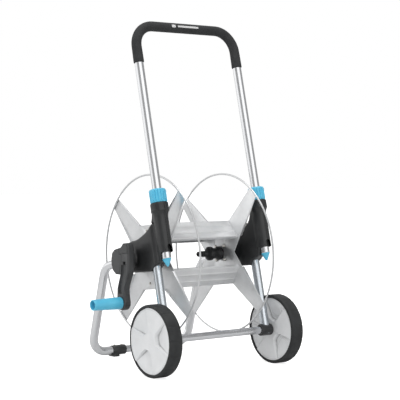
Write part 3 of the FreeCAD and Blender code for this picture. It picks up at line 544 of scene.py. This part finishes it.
low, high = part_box("foot_bar")
FOOT_Y, FOOT_Z = (low.y + high.y) / 2, (low.z + high.z) / 2
FRONT_LEG_TOP, FRONT_LEG_BEND = (0.176, 0.2962), (0.2973, 0.2639)      # Y and Z in metres
FRONT_LEG_END_X = 0.0742
for name, side in SIDES:
    points = [Vector((side * SIDE_X, *FRONT_LEG_TOP)), Vector((side * SIDE_X, *FRONT_LEG_BEND)),
              Vector((side * SIDE_X, FOOT_Y, FOOT_Z)), Vector((side * FRONT_LEG_END_X, FOOT_Y, FOOT_Z))]
    tube("front_leg_drawn_" + name, points, TUBE_R, TUBE_INNER, "frame", ["front_leg_" + name], bend=0.046)


# ---- wheels ----
POCKET_DEEP, POCKET_SHALLOW = 8.0, 2.2
POCKET_TURN = {-1: 48.5, 1: 103.0}      # degrees, by side
AXLE_BORE, HUB_R, HUB_END = 5.08, 16.0, 213.5
RIM_R, RIM_INNER, COVER_RIM_INNER, COVER_LIP_R = 86.3, 83.0, 82.7, 80.5


def smooth(low, high, value):
    share = np.clip((value - low) / (high - low), 0, 1)
    return share * share * (3 - 2 * share)


def wedge(radius, angle, turn, half=31.0, inner=27.0, soft=2.2):
    """1 inside the three wedge-shaped pockets and 0 outside, with soft walls. Degrees and mm."""
    off = (angle - turn + 60) % 120 - 60
    along = radius * np.cos(np.radians(off))
    across = radius * np.abs(np.sin(np.radians(off)))
    wall = across * math.cos(math.radians(half)) - along * math.sin(math.radians(half)) + 3.0
    near = inner - along
    joined = Field.union(-wall, -near, 9.0)
    return smooth(-soft * 0.5, soft * 0.5, joined)


def ring_mesh(rows, side, closed, count):
    """Joins rings of (x, radius) rows around the axle; a row of radius 0 becomes a single point."""
    verts, faces, starts = [], [], []
    for xs, radius in rows:
        starts.append(len(verts))
        for column in range(1 if radius == 0 else count):
            angle = 2 * math.pi * column / count
            verts.append((side * xs[column] / 1000, radius * math.cos(angle) / 1000,
                          AXLE_Z + radius * math.sin(angle) / 1000))
    total = len(rows)
    for row in range(total if closed else total - 1):
        ahead = (row + 1) % total
        for column in range(count):
            after = (column + 1) % count
            near = [starts[row]] if rows[row][1] == 0 else [starts[row] + column, starts[row] + after]
            far = [starts[ahead]] if rows[ahead][1] == 0 else [starts[ahead] + after, starts[ahead] + column]
            faces.append(tuple(near + far))
    return verts, faces


def disc_relief(radii, turn, inner_side, count):
    """Depth in mm of a wheel disc's face, on a grid of rings: pockets, ribs and rim lip."""
    radius, angle = np.meshgrid(radii, np.arange(count) * 360 / count, indexing="ij")
    pocket = wedge(radius, angle, turn)
    relief = -pocket * (POCKET_DEEP * (1 - smooth(34, 82, radius)) + POCKET_SHALLOW)
    relief += 0.9 * smooth(82.4, 83.0, radius) - 1.2 * smooth(85.2, 86.3, radius)
    rim_fade = smooth(20, 28, radius) * (1 - smooth(79, 83, radius))
    edge = np.exp(-((wedge(radius, angle, turn, soft=8) - 0.12) / 0.12) ** 2)
    relief += (1.9 if inner_side else 1.1) * edge * rim_fade
    if inner_side:
        second = np.exp(-((wedge(radius, angle, turn, half=24, inner=38, soft=8) - 0.5) / 0.2) ** 2)
        relief += 2.2 * second * (1 - smooth(74, 80, radius))
    return relief


def wheel_disc(name, side, face, rim_x, turn, node, inner_side):
    """Moulded disc: an even wall behind a face with three soft pockets, and its rim."""
    count, wall = 240, 2.5
    inward = -1 if inner_side else 1
    first = AXLE_BORE if inner_side else 2.0
    front_radii = np.concatenate([np.linspace(first, 82.0, 60), [82.4, 83.0, 84.0, 85.2, 85.8, RIM_R]])
    outermost = RIM_INNER if inner_side else COVER_RIM_INNER
    back_radii = np.linspace(outermost, HUB_R + 0.05 if inner_side else first, 44)
    front = face + inward * disc_relief(front_radii, turn, inner_side, count)
    back = face + inward * (disc_relief(back_radii, turn, False, count) - wall)
    back = np.minimum(back, face + inward * -wall) if inward > 0 else np.maximum(back, face + wall)
    flat = np.ones(count)
    rows = list(zip(front, front_radii))
    rows.append((flat * rim_x, RIM_R))
    if inner_side:
        rows.append((flat * rim_x, RIM_INNER))
        rows += list(zip(back, back_radii))
        rows += [(flat * HUB_END, HUB_R), (flat * HUB_END, AXLE_BORE)]
    else:
        lip_x = rim_x - 6
        rows += [(flat * rim_x, COVER_RIM_INNER), (flat * lip_x, COVER_RIM_INNER)]
        rows.append((flat * lip_x, COVER_LIP_R))
        rows += [(x, radius) for x, radius in zip(back, back_radii) if radius < COVER_LIP_R]
        rows = [(front[0], 0)] + rows + [(back[-1], 0)]
    verts, faces = ring_mesh(rows, side, inner_side, count)
    body = ("left" if side < 0 else "right") + "_wheel"
    return add_mesh(name, verts, faces, WHEEL, body, [node], None, 60)


TYRE_SHOULDER = (       # how far in from the tyre's side, and the radius there, in mm
    (0.6, 86.5), (0.1, 87.2), (0.0, 88.6), (0.4, 90.6), (1.4, 92.6), (3.0, 94.1), (5.4, 94.9), (9, 95.0))
for name, side in SIDES:
    low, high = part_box("tyre_" + name)
    inner, outer = sorted((abs(low.x) * 1000, abs(high.x) * 1000))
    turn = POCKET_TURN[side]
    wheel_disc("wheel_cover_moulded_" + name, side, outer - 1.3, outer - 4.4, turn,
               "wheel_cover_" + name, False)
    wheel_disc("wheel_hub_moulded_" + name, side, inner + 2.4, outer - 4.5, turn,
               "wheel_hub_" + name, True)
    profile = [(inner + inset, radius) for inset, radius in TYRE_SHOULDER]
    profile += [(outer - inset, radius) for inset, radius in reversed(TYRE_SHOULDER)]

    def notch(along, radius, angle, outer=outer):
        """Small sipes across the outer shoulder."""
        near = abs((math.degrees(angle) + 9) % 24 - 12)
        return radius - (1.8 * max(0.0, 1 - near / 1.6) if along > outer - 9.5 and radius > 92.5 else 0.0)

    lathe("tyre_moulded_" + name, profile, Vector((0, 0, AXLE_Z)), X_AXIS * side, TYRE, name + "_wheel",
          ["tyre_" + name], segments=240, radial=notch)


# ---- side housings ----
WEB_X0, WEB_X1 = 148.5, 182.0
BUSH_WAY, WALL = 17.6, 3.0
REEL_Y, REEL_Z = REEL.y * 1000, REEL.z * 1000
UPPER_EDGE = [(51, 428), (53, 402), (66, 382), (92.5, 364), (122, 350), (160, 340), (204, 318), (226, 292)]
LOWER_EDGE = [
    (231, 272), (225, 262), (130, 261), (49, 270), (41, 282), (11, 300), (6, 318), (10, 330), (33, 428)]
SCREWS = ((66, 384), (112, 337), (181, 323), (96, 277), (192, 270))
SCREW_HEAD_R, SCREW_R, SCREW_HEAD_SINK, SCREW_BOSS_R = 4.2, 2.0, 2.2, 5
FOOT_TOP = tuple((SIDE_X * 1000, y * 1000, z * 1000) for y, z in (FRONT_LEG_TOP, FRONT_LEG_BEND))
VALLEY_R, VALLEY_DX, VALLEY_OFFSET = 12, 21.5, 23
BEARING_R, SOCKET_R, COLLAR_R, SPIGOT_R = 21, 19, 24, 18.6
HANDLE_WAY_R, TUBE_WAY_R, TUBE_BOSS_R = 12.4, 12.1, 15
SHELL_GAP = 0.1
HOUSING_STEP = 1.6


def curve_through(points, steps=6):
    """Smooth curve through outline points."""
    ends = [points[0]] + points + [points[-1]]
    curve = []
    for p0, p1, p2, p3 in zip(ends, ends[1:], ends[2:], ends[3:]):
        for step in range(steps):
            t = step / steps
            curve.append(tuple(
                0.5 * (2 * b + (c - a) * t + (2 * a - 5 * b + 4 * c - d) * t * t
                       + (3 * b - a - 3 * c + d) * t ** 3)
                for a, b, c, d in zip(p0, p1, p2, p3)))
    return curve + [points[-1]]


WEB_OUTLINE = curve_through(UPPER_EDGE) + LOWER_EDGE


def on_handle(z, x=SIDE_X * 1000):
    point = handle_at(x / 1000, z / 1000)
    return (x, point.y * 1000, z)


def on_leg(z):
    point = leg_at(SIDE_X, z / 1000)
    return (SIDE_X * 1000, point.y * 1000, z)


def housing_shape(p):
    """Whole side housing: web, socket with collar and spigot, bearing boss, and all ways."""
    x, y, z = p
    outline = Field.polygon(y, z, WEB_OUTLINE)
    web = Field.meet(outline, Field.slab(x, WEB_X0, WEB_X1), 6.0)
    hollow = (VALLEY_DX, VALLEY_OFFSET * math.cos(LEAN), -VALLEY_OFFSET * math.sin(LEAN))
    low, high = on_handle(285), on_handle(402)
    low, high = [tuple(a + b for a, b in zip(end, hollow)) for end in (low, high)]
    valley = Field.rod(p, low, high, VALLEY_R)
    web = Field.cut(web, valley, 5.0)
    bearing = Field.rod(p, (124, REEL_Y, REEL_Z), (195, REEL_Y, REEL_Z), BEARING_R, blend=1.6)
    shoulder = Field.rod(p, (150, REEL_Y, REEL_Z), (189.5, REEL_Y, REEL_Z), 39.5, 20.5)
    shoulder = Field.meet(shoulder, WEB_X0 + 1 - x)
    socket = Field.rod(p, on_handle(322), on_handle(430), SOCKET_R, blend=3)
    flare = Field.rod(p, on_handle(416), on_handle(430), 18, 24.5)
    collar = Field.rod(p, on_handle(427), on_handle(449), COLLAR_R, blend=2.0)
    spigot = Field.rod(p, on_handle(440), on_handle(470), SPIGOT_R, blend=1.0)
    body = Field.union(web, bearing, 4.0)
    body = Field.union(body, shoulder, 5.0)
    body = Field.union(body, socket, 5.0)
    body = Field.union(Field.union(body, flare, 3.0), collar, 2.0)
    body = Field.union(body, spigot, 0.8)
    cavity = Field.meet(outline + WALL, Field.slab(x, WEB_X0 + WALL, WEB_X1 - WALL), 2.0)
    for boss in (
            valley - 2 * WALL, Field.rod(p, on_handle(300), on_handle(440), SOCKET_R - 1),
            Field.rod(p, on_leg(255), on_leg(356), TUBE_BOSS_R), Field.rod(p, *FOOT_TOP, TUBE_BOSS_R),
            Field.rod(p, (124, REEL_Y, REEL_Z), (195, REEL_Y, REEL_Z), BEARING_R + WALL)):
        cavity = Field.cut(cavity, boss, 1.0)
    for screw_y, screw_z in SCREWS:
        cavity = np.maximum(cavity, SCREW_BOSS_R - np.sqrt((y - screw_y) ** 2 + (z - screw_z) ** 2))
    body = np.maximum(body, -cavity)
    ways = Field.rod(p, on_handle(290), on_handle(480), HANDLE_WAY_R)
    ways = np.minimum(ways, Field.rod(p, on_leg(240), on_leg(352.1), TUBE_WAY_R))
    ways = np.minimum(ways, Field.rod(p, *FOOT_TOP, TUBE_WAY_R))
    ways = np.minimum(ways, Field.rod(p, (120, REEL_Y, REEL_Z), (200, REEL_Y, REEL_Z), BUSH_WAY))
    return Field.cut(body, ways, 0.6)


def screw_ways(p):
    """Hole and sunk head of each screw. The first screw's axis lies just outside the web's upper edge."""
    x, y, z = p
    ways = None
    for screw_y, screw_z in SCREWS:
        off = np.sqrt((y - screw_y) ** 2 + (z - screw_z) ** 2)
        way = np.minimum(np.maximum(off - SCREW_HEAD_R, x - WEB_X0 - SCREW_HEAD_SINK), off - SCREW_R)
        ways = way if ways is None else np.minimum(ways, way)
    return ways


def inner_shape(p):
    return np.maximum(np.maximum(housing_shape(p), p[0] - (SIDE_X * 1000 - SHELL_GAP)), -screw_ways(p))


def outer_shape(p):
    return np.maximum(housing_shape(p), (SIDE_X * 1000 + SHELL_GAP) - p[0])


for name, side in SIDES:
    field_piece("housing_outer_moulded_" + name, outer_shape, (166, -6, 260), (196, 232, 472), HOUSING_STEP,
                side, BLACK, "frame", ["housing_outer_" + name])
    field_piece("housing_inner_moulded_" + name, inner_shape, (124, -6, 260), (167, 232, 472), HOUSING_STEP,
                side, BLACK, "frame", ["housing_inner_" + name])


# ---- crank ----
CRANK_X0, CRANK_X1 = 204.0, 225.0
ARM_OUTLINE = [
    (135, 257.5), (157, 257.5), (170, 267), (177, 282), (178, 298), (174, 314), (164, 323),
    (133, 331), (122, 342), (103, 344), (96, 332), (94.5, 306), (94.5, 277), (97, 263),
    (106, 245), (113, 230), (115.5, 218), (114.5, 206), (110, 186), (111, 176.5), (115.9, 168.9),
    (122.5, 164.5), (130, 163), (137.6, 164.6), (144, 168.9), (148.4, 175.5), (150, 187), (148.5, 221),
    (141, 241),
]
ARM_RECESS = [
    (103, 284), (127, 284), (129.5, 262), (136, 242), (141.5, 222), (140, 208), (121.5, 207),
    (117.5, 226), (110.5, 244), (105, 264),
]
COVER = [
    (126, 288), (132.5, 283), (135.5, 261), (156, 260.5), (167.5, 269), (174, 283), (175, 298),
    (171.5, 312), (162.5, 320), (137, 326.5), (137, 312.5), (126, 312.5),
]
CAP = [(98.5, 315.5), (133.5, 315.5), (133.5, 327), (121, 339), (104, 341), (98.5, 332)]
GRIP_Y, GRIP_Z = GRIP_AXIS.y * 1000, GRIP_AXIS.z * 1000
SQUARE_HALF, CRANK_SCREW_R, CRANK_HEAD_R, PIN_WAY_R = 9.1, 3.1, 9, 4.03
LID_GAP = 0.35


def turned(y, z):
    """Coordinates along and across the reel's own square directions."""
    dy, dz = y - REEL_Y, z - REEL_Z
    cos, sin = math.cos(REEL_TURN), math.sin(REEL_TURN)
    return dy * cos + dz * sin, dz * cos - dy * sin


def arm_shape(p):
    x, y, z = p
    body = Field.meet(Field.polygon(y, z, ARM_OUTLINE), Field.slab(x, CRANK_X0, CRANK_X1), 5.0)
    hub = Field.rod(p, (198.5, REEL_Y, REEL_Z), (206, REEL_Y, REEL_Z), 27, blend=2.0)
    body = Field.union(body, hub, 2.0)
    face = x - CRANK_X1
    recess = Field.meet(Field.polygon(y, z, ARM_RECESS) - 0.6, -face - 5, 1.5)
    body = Field.cut(body, recess, 1.2)
    hole = np.maximum(np.maximum(Field.slab(y, 107, 120), Field.slab(z, 285.5, 294)), -face - 14)
    body = Field.cut(body, hole, 0.6)
    body = Field.cut(body, np.maximum(Field.polygon(y, z, COVER), -face - 5), 0.5)
    body = Field.cut(body, np.maximum(Field.polygon(y, z, CAP), -face - 7), 0.5)
    along, across = turned(y, z)
    square = np.maximum(np.maximum(np.abs(along), np.abs(across)) - SQUARE_HALF, x - CRANK_X0 - 9.5)
    off = np.sqrt(along ** 2 + across ** 2)
    screw = np.minimum(off - CRANK_SCREW_R, np.maximum(off - CRANK_HEAD_R, CRANK_X1 - 9 - x))
    shaft = np.minimum(square, screw)
    pin = np.sqrt((y - GRIP_Y) ** 2 + (z - GRIP_Z) ** 2) - PIN_WAY_R
    return np.maximum(body, -np.minimum(shaft, pin))


def cover_shape(p):
    x, y, z = p
    flat = Field.polygon(y, z, COVER) + LID_GAP
    return Field.meet(flat, Field.slab(x, CRANK_X1 - 4.9, CRANK_X1), 2.4)


def cap_shape(p):
    x, y, z = p
    flat = Field.polygon(y, z, CAP) + LID_GAP
    return Field.meet(flat, Field.slab(x, CRANK_X1 - 6.9, CRANK_X1 + 0.8), 2.4)


field_piece("crank_arm_moulded", arm_shape, (198, 93, 162), (226, 179, 345), 1.0, -1, CRANK, "reel",
            ["crank_arm"], ratio=0.35)
field_piece("crank_cover_moulded", cover_shape, (219, 125, 259), (226, 176, 328), 0.7, -1, CRANK, "reel",
            ["crank_cover"], ratio=0.35)
field_piece("crank_cap_moulded", cap_shape, (217, 97, 314), (227, 135, 342), 0.7, -1, CRANK, "reel",
            ["crank_cap"], ratio=0.35)

grip_base = Vector((0, GRIP_AXIS.y, GRIP_AXIS.z))
grip_profile = [
    (225.5, 13.6), (225.6, 14.8), (226.4, 15.9), (228, 16.4), (236, 16.35), (260, 15.75), (285, 15.0),
    (303, 14.45), (310, 14.2), (312.3, 13.8), (313, 13.0), (312.9, 12.0), (312.2, 11.5), (299.4, 11.4),
    (299.4, 4.08), (225.5, 4.08),
]
lathe("crank_grip_moulded", grip_profile, grip_base, -X_AXIS, BLUE, "crank_handgrip",
      ["crank_grip"])


# ---- clamp nuts ----
NUT_R, NUT_LENGTH = 21.8, 36.05
NUT_BASE_Z = 0.450
NUT_RIBS = 18


def nut_ribs(along, radius, angle):
    """Broad grip ribs with narrow grooves between them."""
    if radius < 20.5:
        return radius
    phase = angle * NUT_RIBS / (2 * math.pi) % 1.0
    rib = smooth(0.06, 0.24, abs(phase - 0.5))
    fade = smooth(0.6, 2.6, along) * (1 - smooth(NUT_LENGTH - 5.5, NUT_LENGTH - 2.8, along))
    return radius + (1.9 * rib - 0.8) * fade


nut_profile = [(0, 18.9), (0, 21.3), (0.5, 21.8), (1.4, NUT_R), (3.2, NUT_R), (10, NUT_R), (20, NUT_R),
               (28.5, NUT_R), (31, NUT_R), (33.2, NUT_R), (34.6, 21.2), (35.6, 20.2), (NUT_LENGTH, 18.8),
               (NUT_LENGTH, 13.2), (35.6, 12.6), (34.8, 12.4), (30, 12.4), (30, 18.9)]
for name, side in SIDES:
    lathe("clamp_nut_moulded_" + name, nut_profile, handle_at(side * SIDE_X, NUT_BASE_Z), HANDLE_DIR, BLUE,
          name + "_nut", ["clamp_nut_" + name], segments=360, radial=nut_ribs, sharp=34)


# ---- plain printed bars on the handle's sleeve ----
def sleeve_bar(name, x0, x1, low, high):
    """Thin printed patch bent round the sleeve; low and high are angles in degrees from straight up."""
    verts, faces = [], []
    columns, rows = 12, 8
    centre = handle_at(0, bar_z)
    for layer in (0.01402, 0.01410):
        for column in range(columns + 1):
            for row in range(rows + 1):
                share = row / rows
                angle = math.radians(low + (high - low) * share)
                pinch = 0.0015 * (1 - math.sqrt(max(0.0, 1 - (2 * share - 1) ** 2)))
                x = x0 + pinch + (x1 - x0 - 2 * pinch) * column / columns
                verts.append((x, centre.y - layer * math.sin(angle), centre.z + layer * math.cos(angle)))
    size = (columns + 1) * (rows + 1)
    for column in range(columns):
        for row in range(rows):
            first = column * (rows + 1) + row
            quad = (first, first + 1, first + rows + 2, first + rows + 1)
            faces.append(quad)
            faces.append(tuple(size + index for index in quad[::-1]))
    border = list(range(rows)) + [column * (rows + 1) + rows for column in range(columns)]
    border += [columns * (rows + 1) + row for row in range(rows, 0, -1)]
    border += [column * (rows + 1) for column in range(columns, 0, -1)]
    for first, second in zip(border, border[1:] + border[:1]):
        faces.append((first, second, size + second, size + first))
    return add_mesh(name, verts, faces, PRINT, "handle", (), None, 40)


sleeve_bar("sleeve_bar_long", -0.030, 0.040, 62, 84)
sleeve_bar("sleeve_bar_short", -0.050, -0.037, 56, 90)


# ---- winding drum ----
def reel_point(x, u, w):
    """Point given in the reel's own axes, in mm."""
    cos, sin = math.cos(REEL_TURN), math.sin(REEL_TURN)
    return Vector((x / 1000, REEL.y + (u * cos - w * sin) / 1000, REEL.z + (u * sin + w * cos) / 1000))


BEAM_HALF, SHEET_T = 113.9, 1.6
BEAM_LINE = [(-76.5, 36), (-83, 42), (-48.5, 88), (48.5, 88), (83, 42), (76.5, 36)]


def flat_path(points, bends, steps=8):
    """Plane path with rounded folds."""
    path = [Vector(points[0])]
    for before, corner, after, bend in zip(points, points[1:], points[2:], bends):
        before, corner, after = Vector(before), Vector(corner), Vector(after)
        back, ahead = (before - corner).normalized(), (after - corner).normalized()
        half = back.angle(ahead) / 2
        reach = min(bend / math.tan(half), 0.45 * min((before - corner).length, (after - corner).length))
        radius = reach * math.tan(half)
        centre = corner + (back + ahead).normalized() * (radius / math.sin(half))
        start, end = corner + back * reach - centre, corner + ahead * reach - centre
        total = start.angle(end)
        for step in range(steps + 1):
            t = total * step / steps
            path.append(centre + (math.sin(total - t) * start + math.sin(t) * end) / math.sin(total))
    path.append(Vector(points[-1]))
    return path


def with_beads(line):
    """Adds two low stiffening beads along each sloping flank of the channel."""
    beaded = []
    for start, end in zip(line, line[1:]):
        beaded.append(start)
        run = end - start
        if abs(run.x) < 20 or abs(run.y) < 20:
            continue
        normal = Vector((-run.y, run.x)).normalized()
        for middle in (0.30, 0.72):
            for step in range(9):
                offset = (step - 4) * 0.85
                height = 1.3 * math.cos(offset / 3.4 * math.pi / 2) ** 2
                beaded.append(start + run * middle + run.normalized() * offset + normal * height)
    beaded.append(line[-1])
    return beaded


def beam(name, sign, node):
    """Folded channel with rounded folds, two low beads on each flank and an upright tab at each end."""
    line = flat_path(BEAM_LINE, [3.0, 4.5, 4.5, 3.0])
    line = with_beads(line)
    outer, inner = [], []
    for index, point in enumerate(line):
        ahead = line[min(index + 1, len(line) - 1)] - line[max(index - 1, 0)]
        normal = Vector((-ahead.y, ahead.x)).normalized()
        outer.append(point)
        inner.append(point - normal * SHEET_T)
    loop = outer + inner[::-1]
    xs = [-BEAM_HALF, -BEAM_HALF + 0.5, BEAM_HALF - 0.5, BEAM_HALF]
    verts, faces = [], []
    count = len(loop)
    for x in xs:
        for point in loop:
            verts.append(reel_point(x, point.x, sign * point.y))
    for row in range(len(xs) - 1):
        for index in range(count):
            after = (index + 1) % count
            faces.append((row * count + index, row * count + after,
                          (row + 1) * count + after, (row + 1) * count + index))
    half = len(outer)
    for row in (0, len(xs) - 1):
        for index in range(half - 1):
            faces.append((row * count + index, row * count + index + 1,
                          row * count + count - 2 - index, row * count + count - 1 - index))
    for side in (-1, 1):
        tab = [(-34, 60), (-30, 57), (30, 57), (34, 60), (34, 86.6), (-34, 86.6)]
        start = len(verts)
        for x in (side * (BEAM_HALF - SHEET_T), side * BEAM_HALF):
            for u, w in tab:
                verts.append(reel_point(x, u, sign * w))
        number = len(tab)
        faces.append(tuple(range(start, start + number)))
        faces.append(tuple(range(start + number, start + 2 * number)))
        for index in range(number):
            after = (index + 1) % number
            faces.append((start + index, start + after, start + number + after, start + number + index))
    return add_mesh(name, verts, faces, SHEET, "reel", [node], None, 40)


beam("drum_beam_folded_upper", 1, "drum_beam_upper")
beam("drum_beam_folded_lower", -1, "drum_beam_lower")


# ---- broken edges on some of the CAD pieces that are kept ----
def soften(node, width):
    obj = NODES[node]
    obj.data.shade_smooth()
    weld = obj.modifiers.new("weld", "WELD")
    weld.merge_threshold = 0.00002
    flat = obj.modifiers.new("flat", "DECIMATE")
    flat.decimate_type = "DISSOLVE"
    flat.angle_limit = math.radians(1.0)
    edge = obj.modifiers.new("edge", "BEVEL")
    edge.width = width
    edge.segments = 2
    edge.limit_method = "ANGLE"
    edge.angle_limit = math.radians(32)
    edge.harden_normals = True


for name, side in SIDES:
    soften("axle_bracket_" + name, 0.0008)
    soften("foot_sleeve_" + name, 0.0008)
    soften("spider_" + name, 0.0004)
    NODES["wheel_leg_" + name].data.materials[0] = LEG
for name in ("axle_crossbar", "foot_bar"):
    NODES[name].data.materials[0] = BAR
soften("outlet_nut", 0.0004)
soften("hose_adapter", 0.0003)


# ---- light, floor and camera ----
BANDS = (
    (-180, 0.55), (-145, 0.75), (-125, 1.35), (-66, 1.30), (-55, 0.46), (-10, 0.46), (-1, 1.50),
    (60, 1.50), (73, 0.40), (128, 0.42), (150, 0.60), (180, 0.55),
)
BAND_MAX = 1.5
BAND_START = 233.1            # degrees, the direction that the bands are counted from
AROUND = 0.86                 # strength of the panels as a whole
FLOOR_GREY, FLOOR_LIFT = 0.72, 0.80
CAMERA_AT, CAMERA_TARGET, CAMERA_LENS = (-2.0661, -2.6681, 0.5630), (-0.0597, 0.0, 0.4565), 113.85
LIT_POINT = (0, 0.1, 0.4)


def studio_world():
    """White behind the object; around it soft bright panels with darker gaps between them."""
    world = bpy.data.worlds.new("studio")
    world.use_nodes = True
    tree = world.node_tree
    links = tree.links
    panels = tree.nodes["Background"]
    coords = tree.nodes.new("ShaderNodeTexCoord")
    split = tree.nodes.new("ShaderNodeSeparateXYZ")
    links.new(coords.outputs["Generated"], split.inputs[0])

    def step(operation, first, second):
        made = tree.nodes.new("ShaderNodeMath")
        made.operation = operation
        for socket, value in zip(made.inputs, (first, second)):
            if isinstance(value, bpy.types.NodeSocket):
                links.new(value, socket)
            elif value is not None:
                socket.default_value = value
        return made.outputs[0]

    turn = step("ARCTAN2", split.outputs["Y"], split.outputs["X"])
    turn = step("MULTIPLY", turn, 1 / (2 * math.pi))
    turn = step("ADD", turn, 2.5 - BAND_START / 360)
    turn = step("FRACT", turn, None)
    ramp = tree.nodes.new("ShaderNodeValToRGB")
    links.new(turn, ramp.inputs[0])
    stops = ramp.color_ramp.elements
    while len(stops) > 1:
        stops.remove(stops[-1])
    for index, (angle, value) in enumerate(BANDS):
        stop = stops[0] if index == 0 else stops.new(angle / 360 + 0.5)
        stop.position = angle / 360 + 0.5
        stop.color = (value / BAND_MAX,) * 3 + (1,)
    links.new(ramp.outputs["Color"], panels.inputs["Color"])
    panels.inputs["Strength"].default_value = BAND_MAX * AROUND
    plain = tree.nodes.new("ShaderNodeBackground")
    plain.inputs["Color"].default_value = (1, 1, 1, 1)
    plain.inputs["Strength"].default_value = 1.0
    path = tree.nodes.new("ShaderNodeLightPath")
    mixer = tree.nodes.new("ShaderNodeMixShader")
    links.new(path.outputs["Is Camera Ray"], mixer.inputs[0])
    links.new(panels.outputs[0], mixer.inputs[1])
    links.new(plain.outputs[0], mixer.inputs[2])
    links.new(mixer.outputs[0], tree.nodes["World Output"].inputs["Surface"])
    return world


def floor_paint():
    """Pale floor, seen almost white."""
    paint = bpy.data.materials.new("floor_paint")
    paint.use_nodes = True
    tree = paint.node_tree
    shader = tree.nodes["Principled BSDF"]
    shader.inputs["Base Color"].default_value = (FLOOR_GREY, FLOOR_GREY, FLOOR_GREY, 1)
    shader.inputs["Roughness"].default_value = 0.9
    shader.inputs["Specular IOR Level"].default_value = 0.1
    shader.inputs["Emission Color"].default_value = (1, 1, 1, 1)
    path = tree.nodes.new("ShaderNodeLightPath")
    lift = tree.nodes.new("ShaderNodeMath")
    lift.operation = "MULTIPLY"
    lift.inputs[1].default_value = FLOOR_LIFT
    tree.links.new(path.outputs["Is Camera Ray"], lift.inputs[0])
    tree.links.new(lift.outputs[0], shader.inputs["Emission Strength"])
    return paint


def stage_and_camera():
    scene = bpy.context.scene
    scene.view_settings.view_transform = "Standard"
    scene.view_settings.look = "None"
    scene.world = studio_world()
    bpy.ops.mesh.primitive_plane_add(size=30, location=(0, 0, 0))
    floor = bpy.context.object
    floor.name = "studio_floor"
    floor.data.materials.append(floor_paint())

    def area(name, location, target, size, power, shines):
        light = bpy.data.lights.new(name, "AREA")
        light.shape = "RECTANGLE"
        light.size, light.size_y = size
        light.energy = power
        obj = bpy.data.objects.new(name, light)
        obj.location = location
        obj.visible_glossy = shines
        obj.rotation_euler = (Vector(target) - Vector(location)).to_track_quat("-Z", "Y").to_euler()
        scene.collection.objects.link(obj)

    area("key", (-3.2, -0.6, 2.2), LIT_POINT, (1.6, 2.4), 22, False)
    area("top", (0.2, -0.2, 3.2), LIT_POINT, (1.6, 1.6), 26, True)

    camera = bpy.data.objects.new("camera", bpy.data.cameras.new("camera"))
    camera.location = CAMERA_AT
    look = Vector(CAMERA_TARGET) - camera.location
    camera.rotation_euler = look.to_track_quat("-Z", "Y").to_euler()
    camera.data.sensor_width = 36
    camera.data.lens = CAMERA_LENS
    scene.collection.objects.link(camera)
    scene.camera = camera


stage_and_camera()
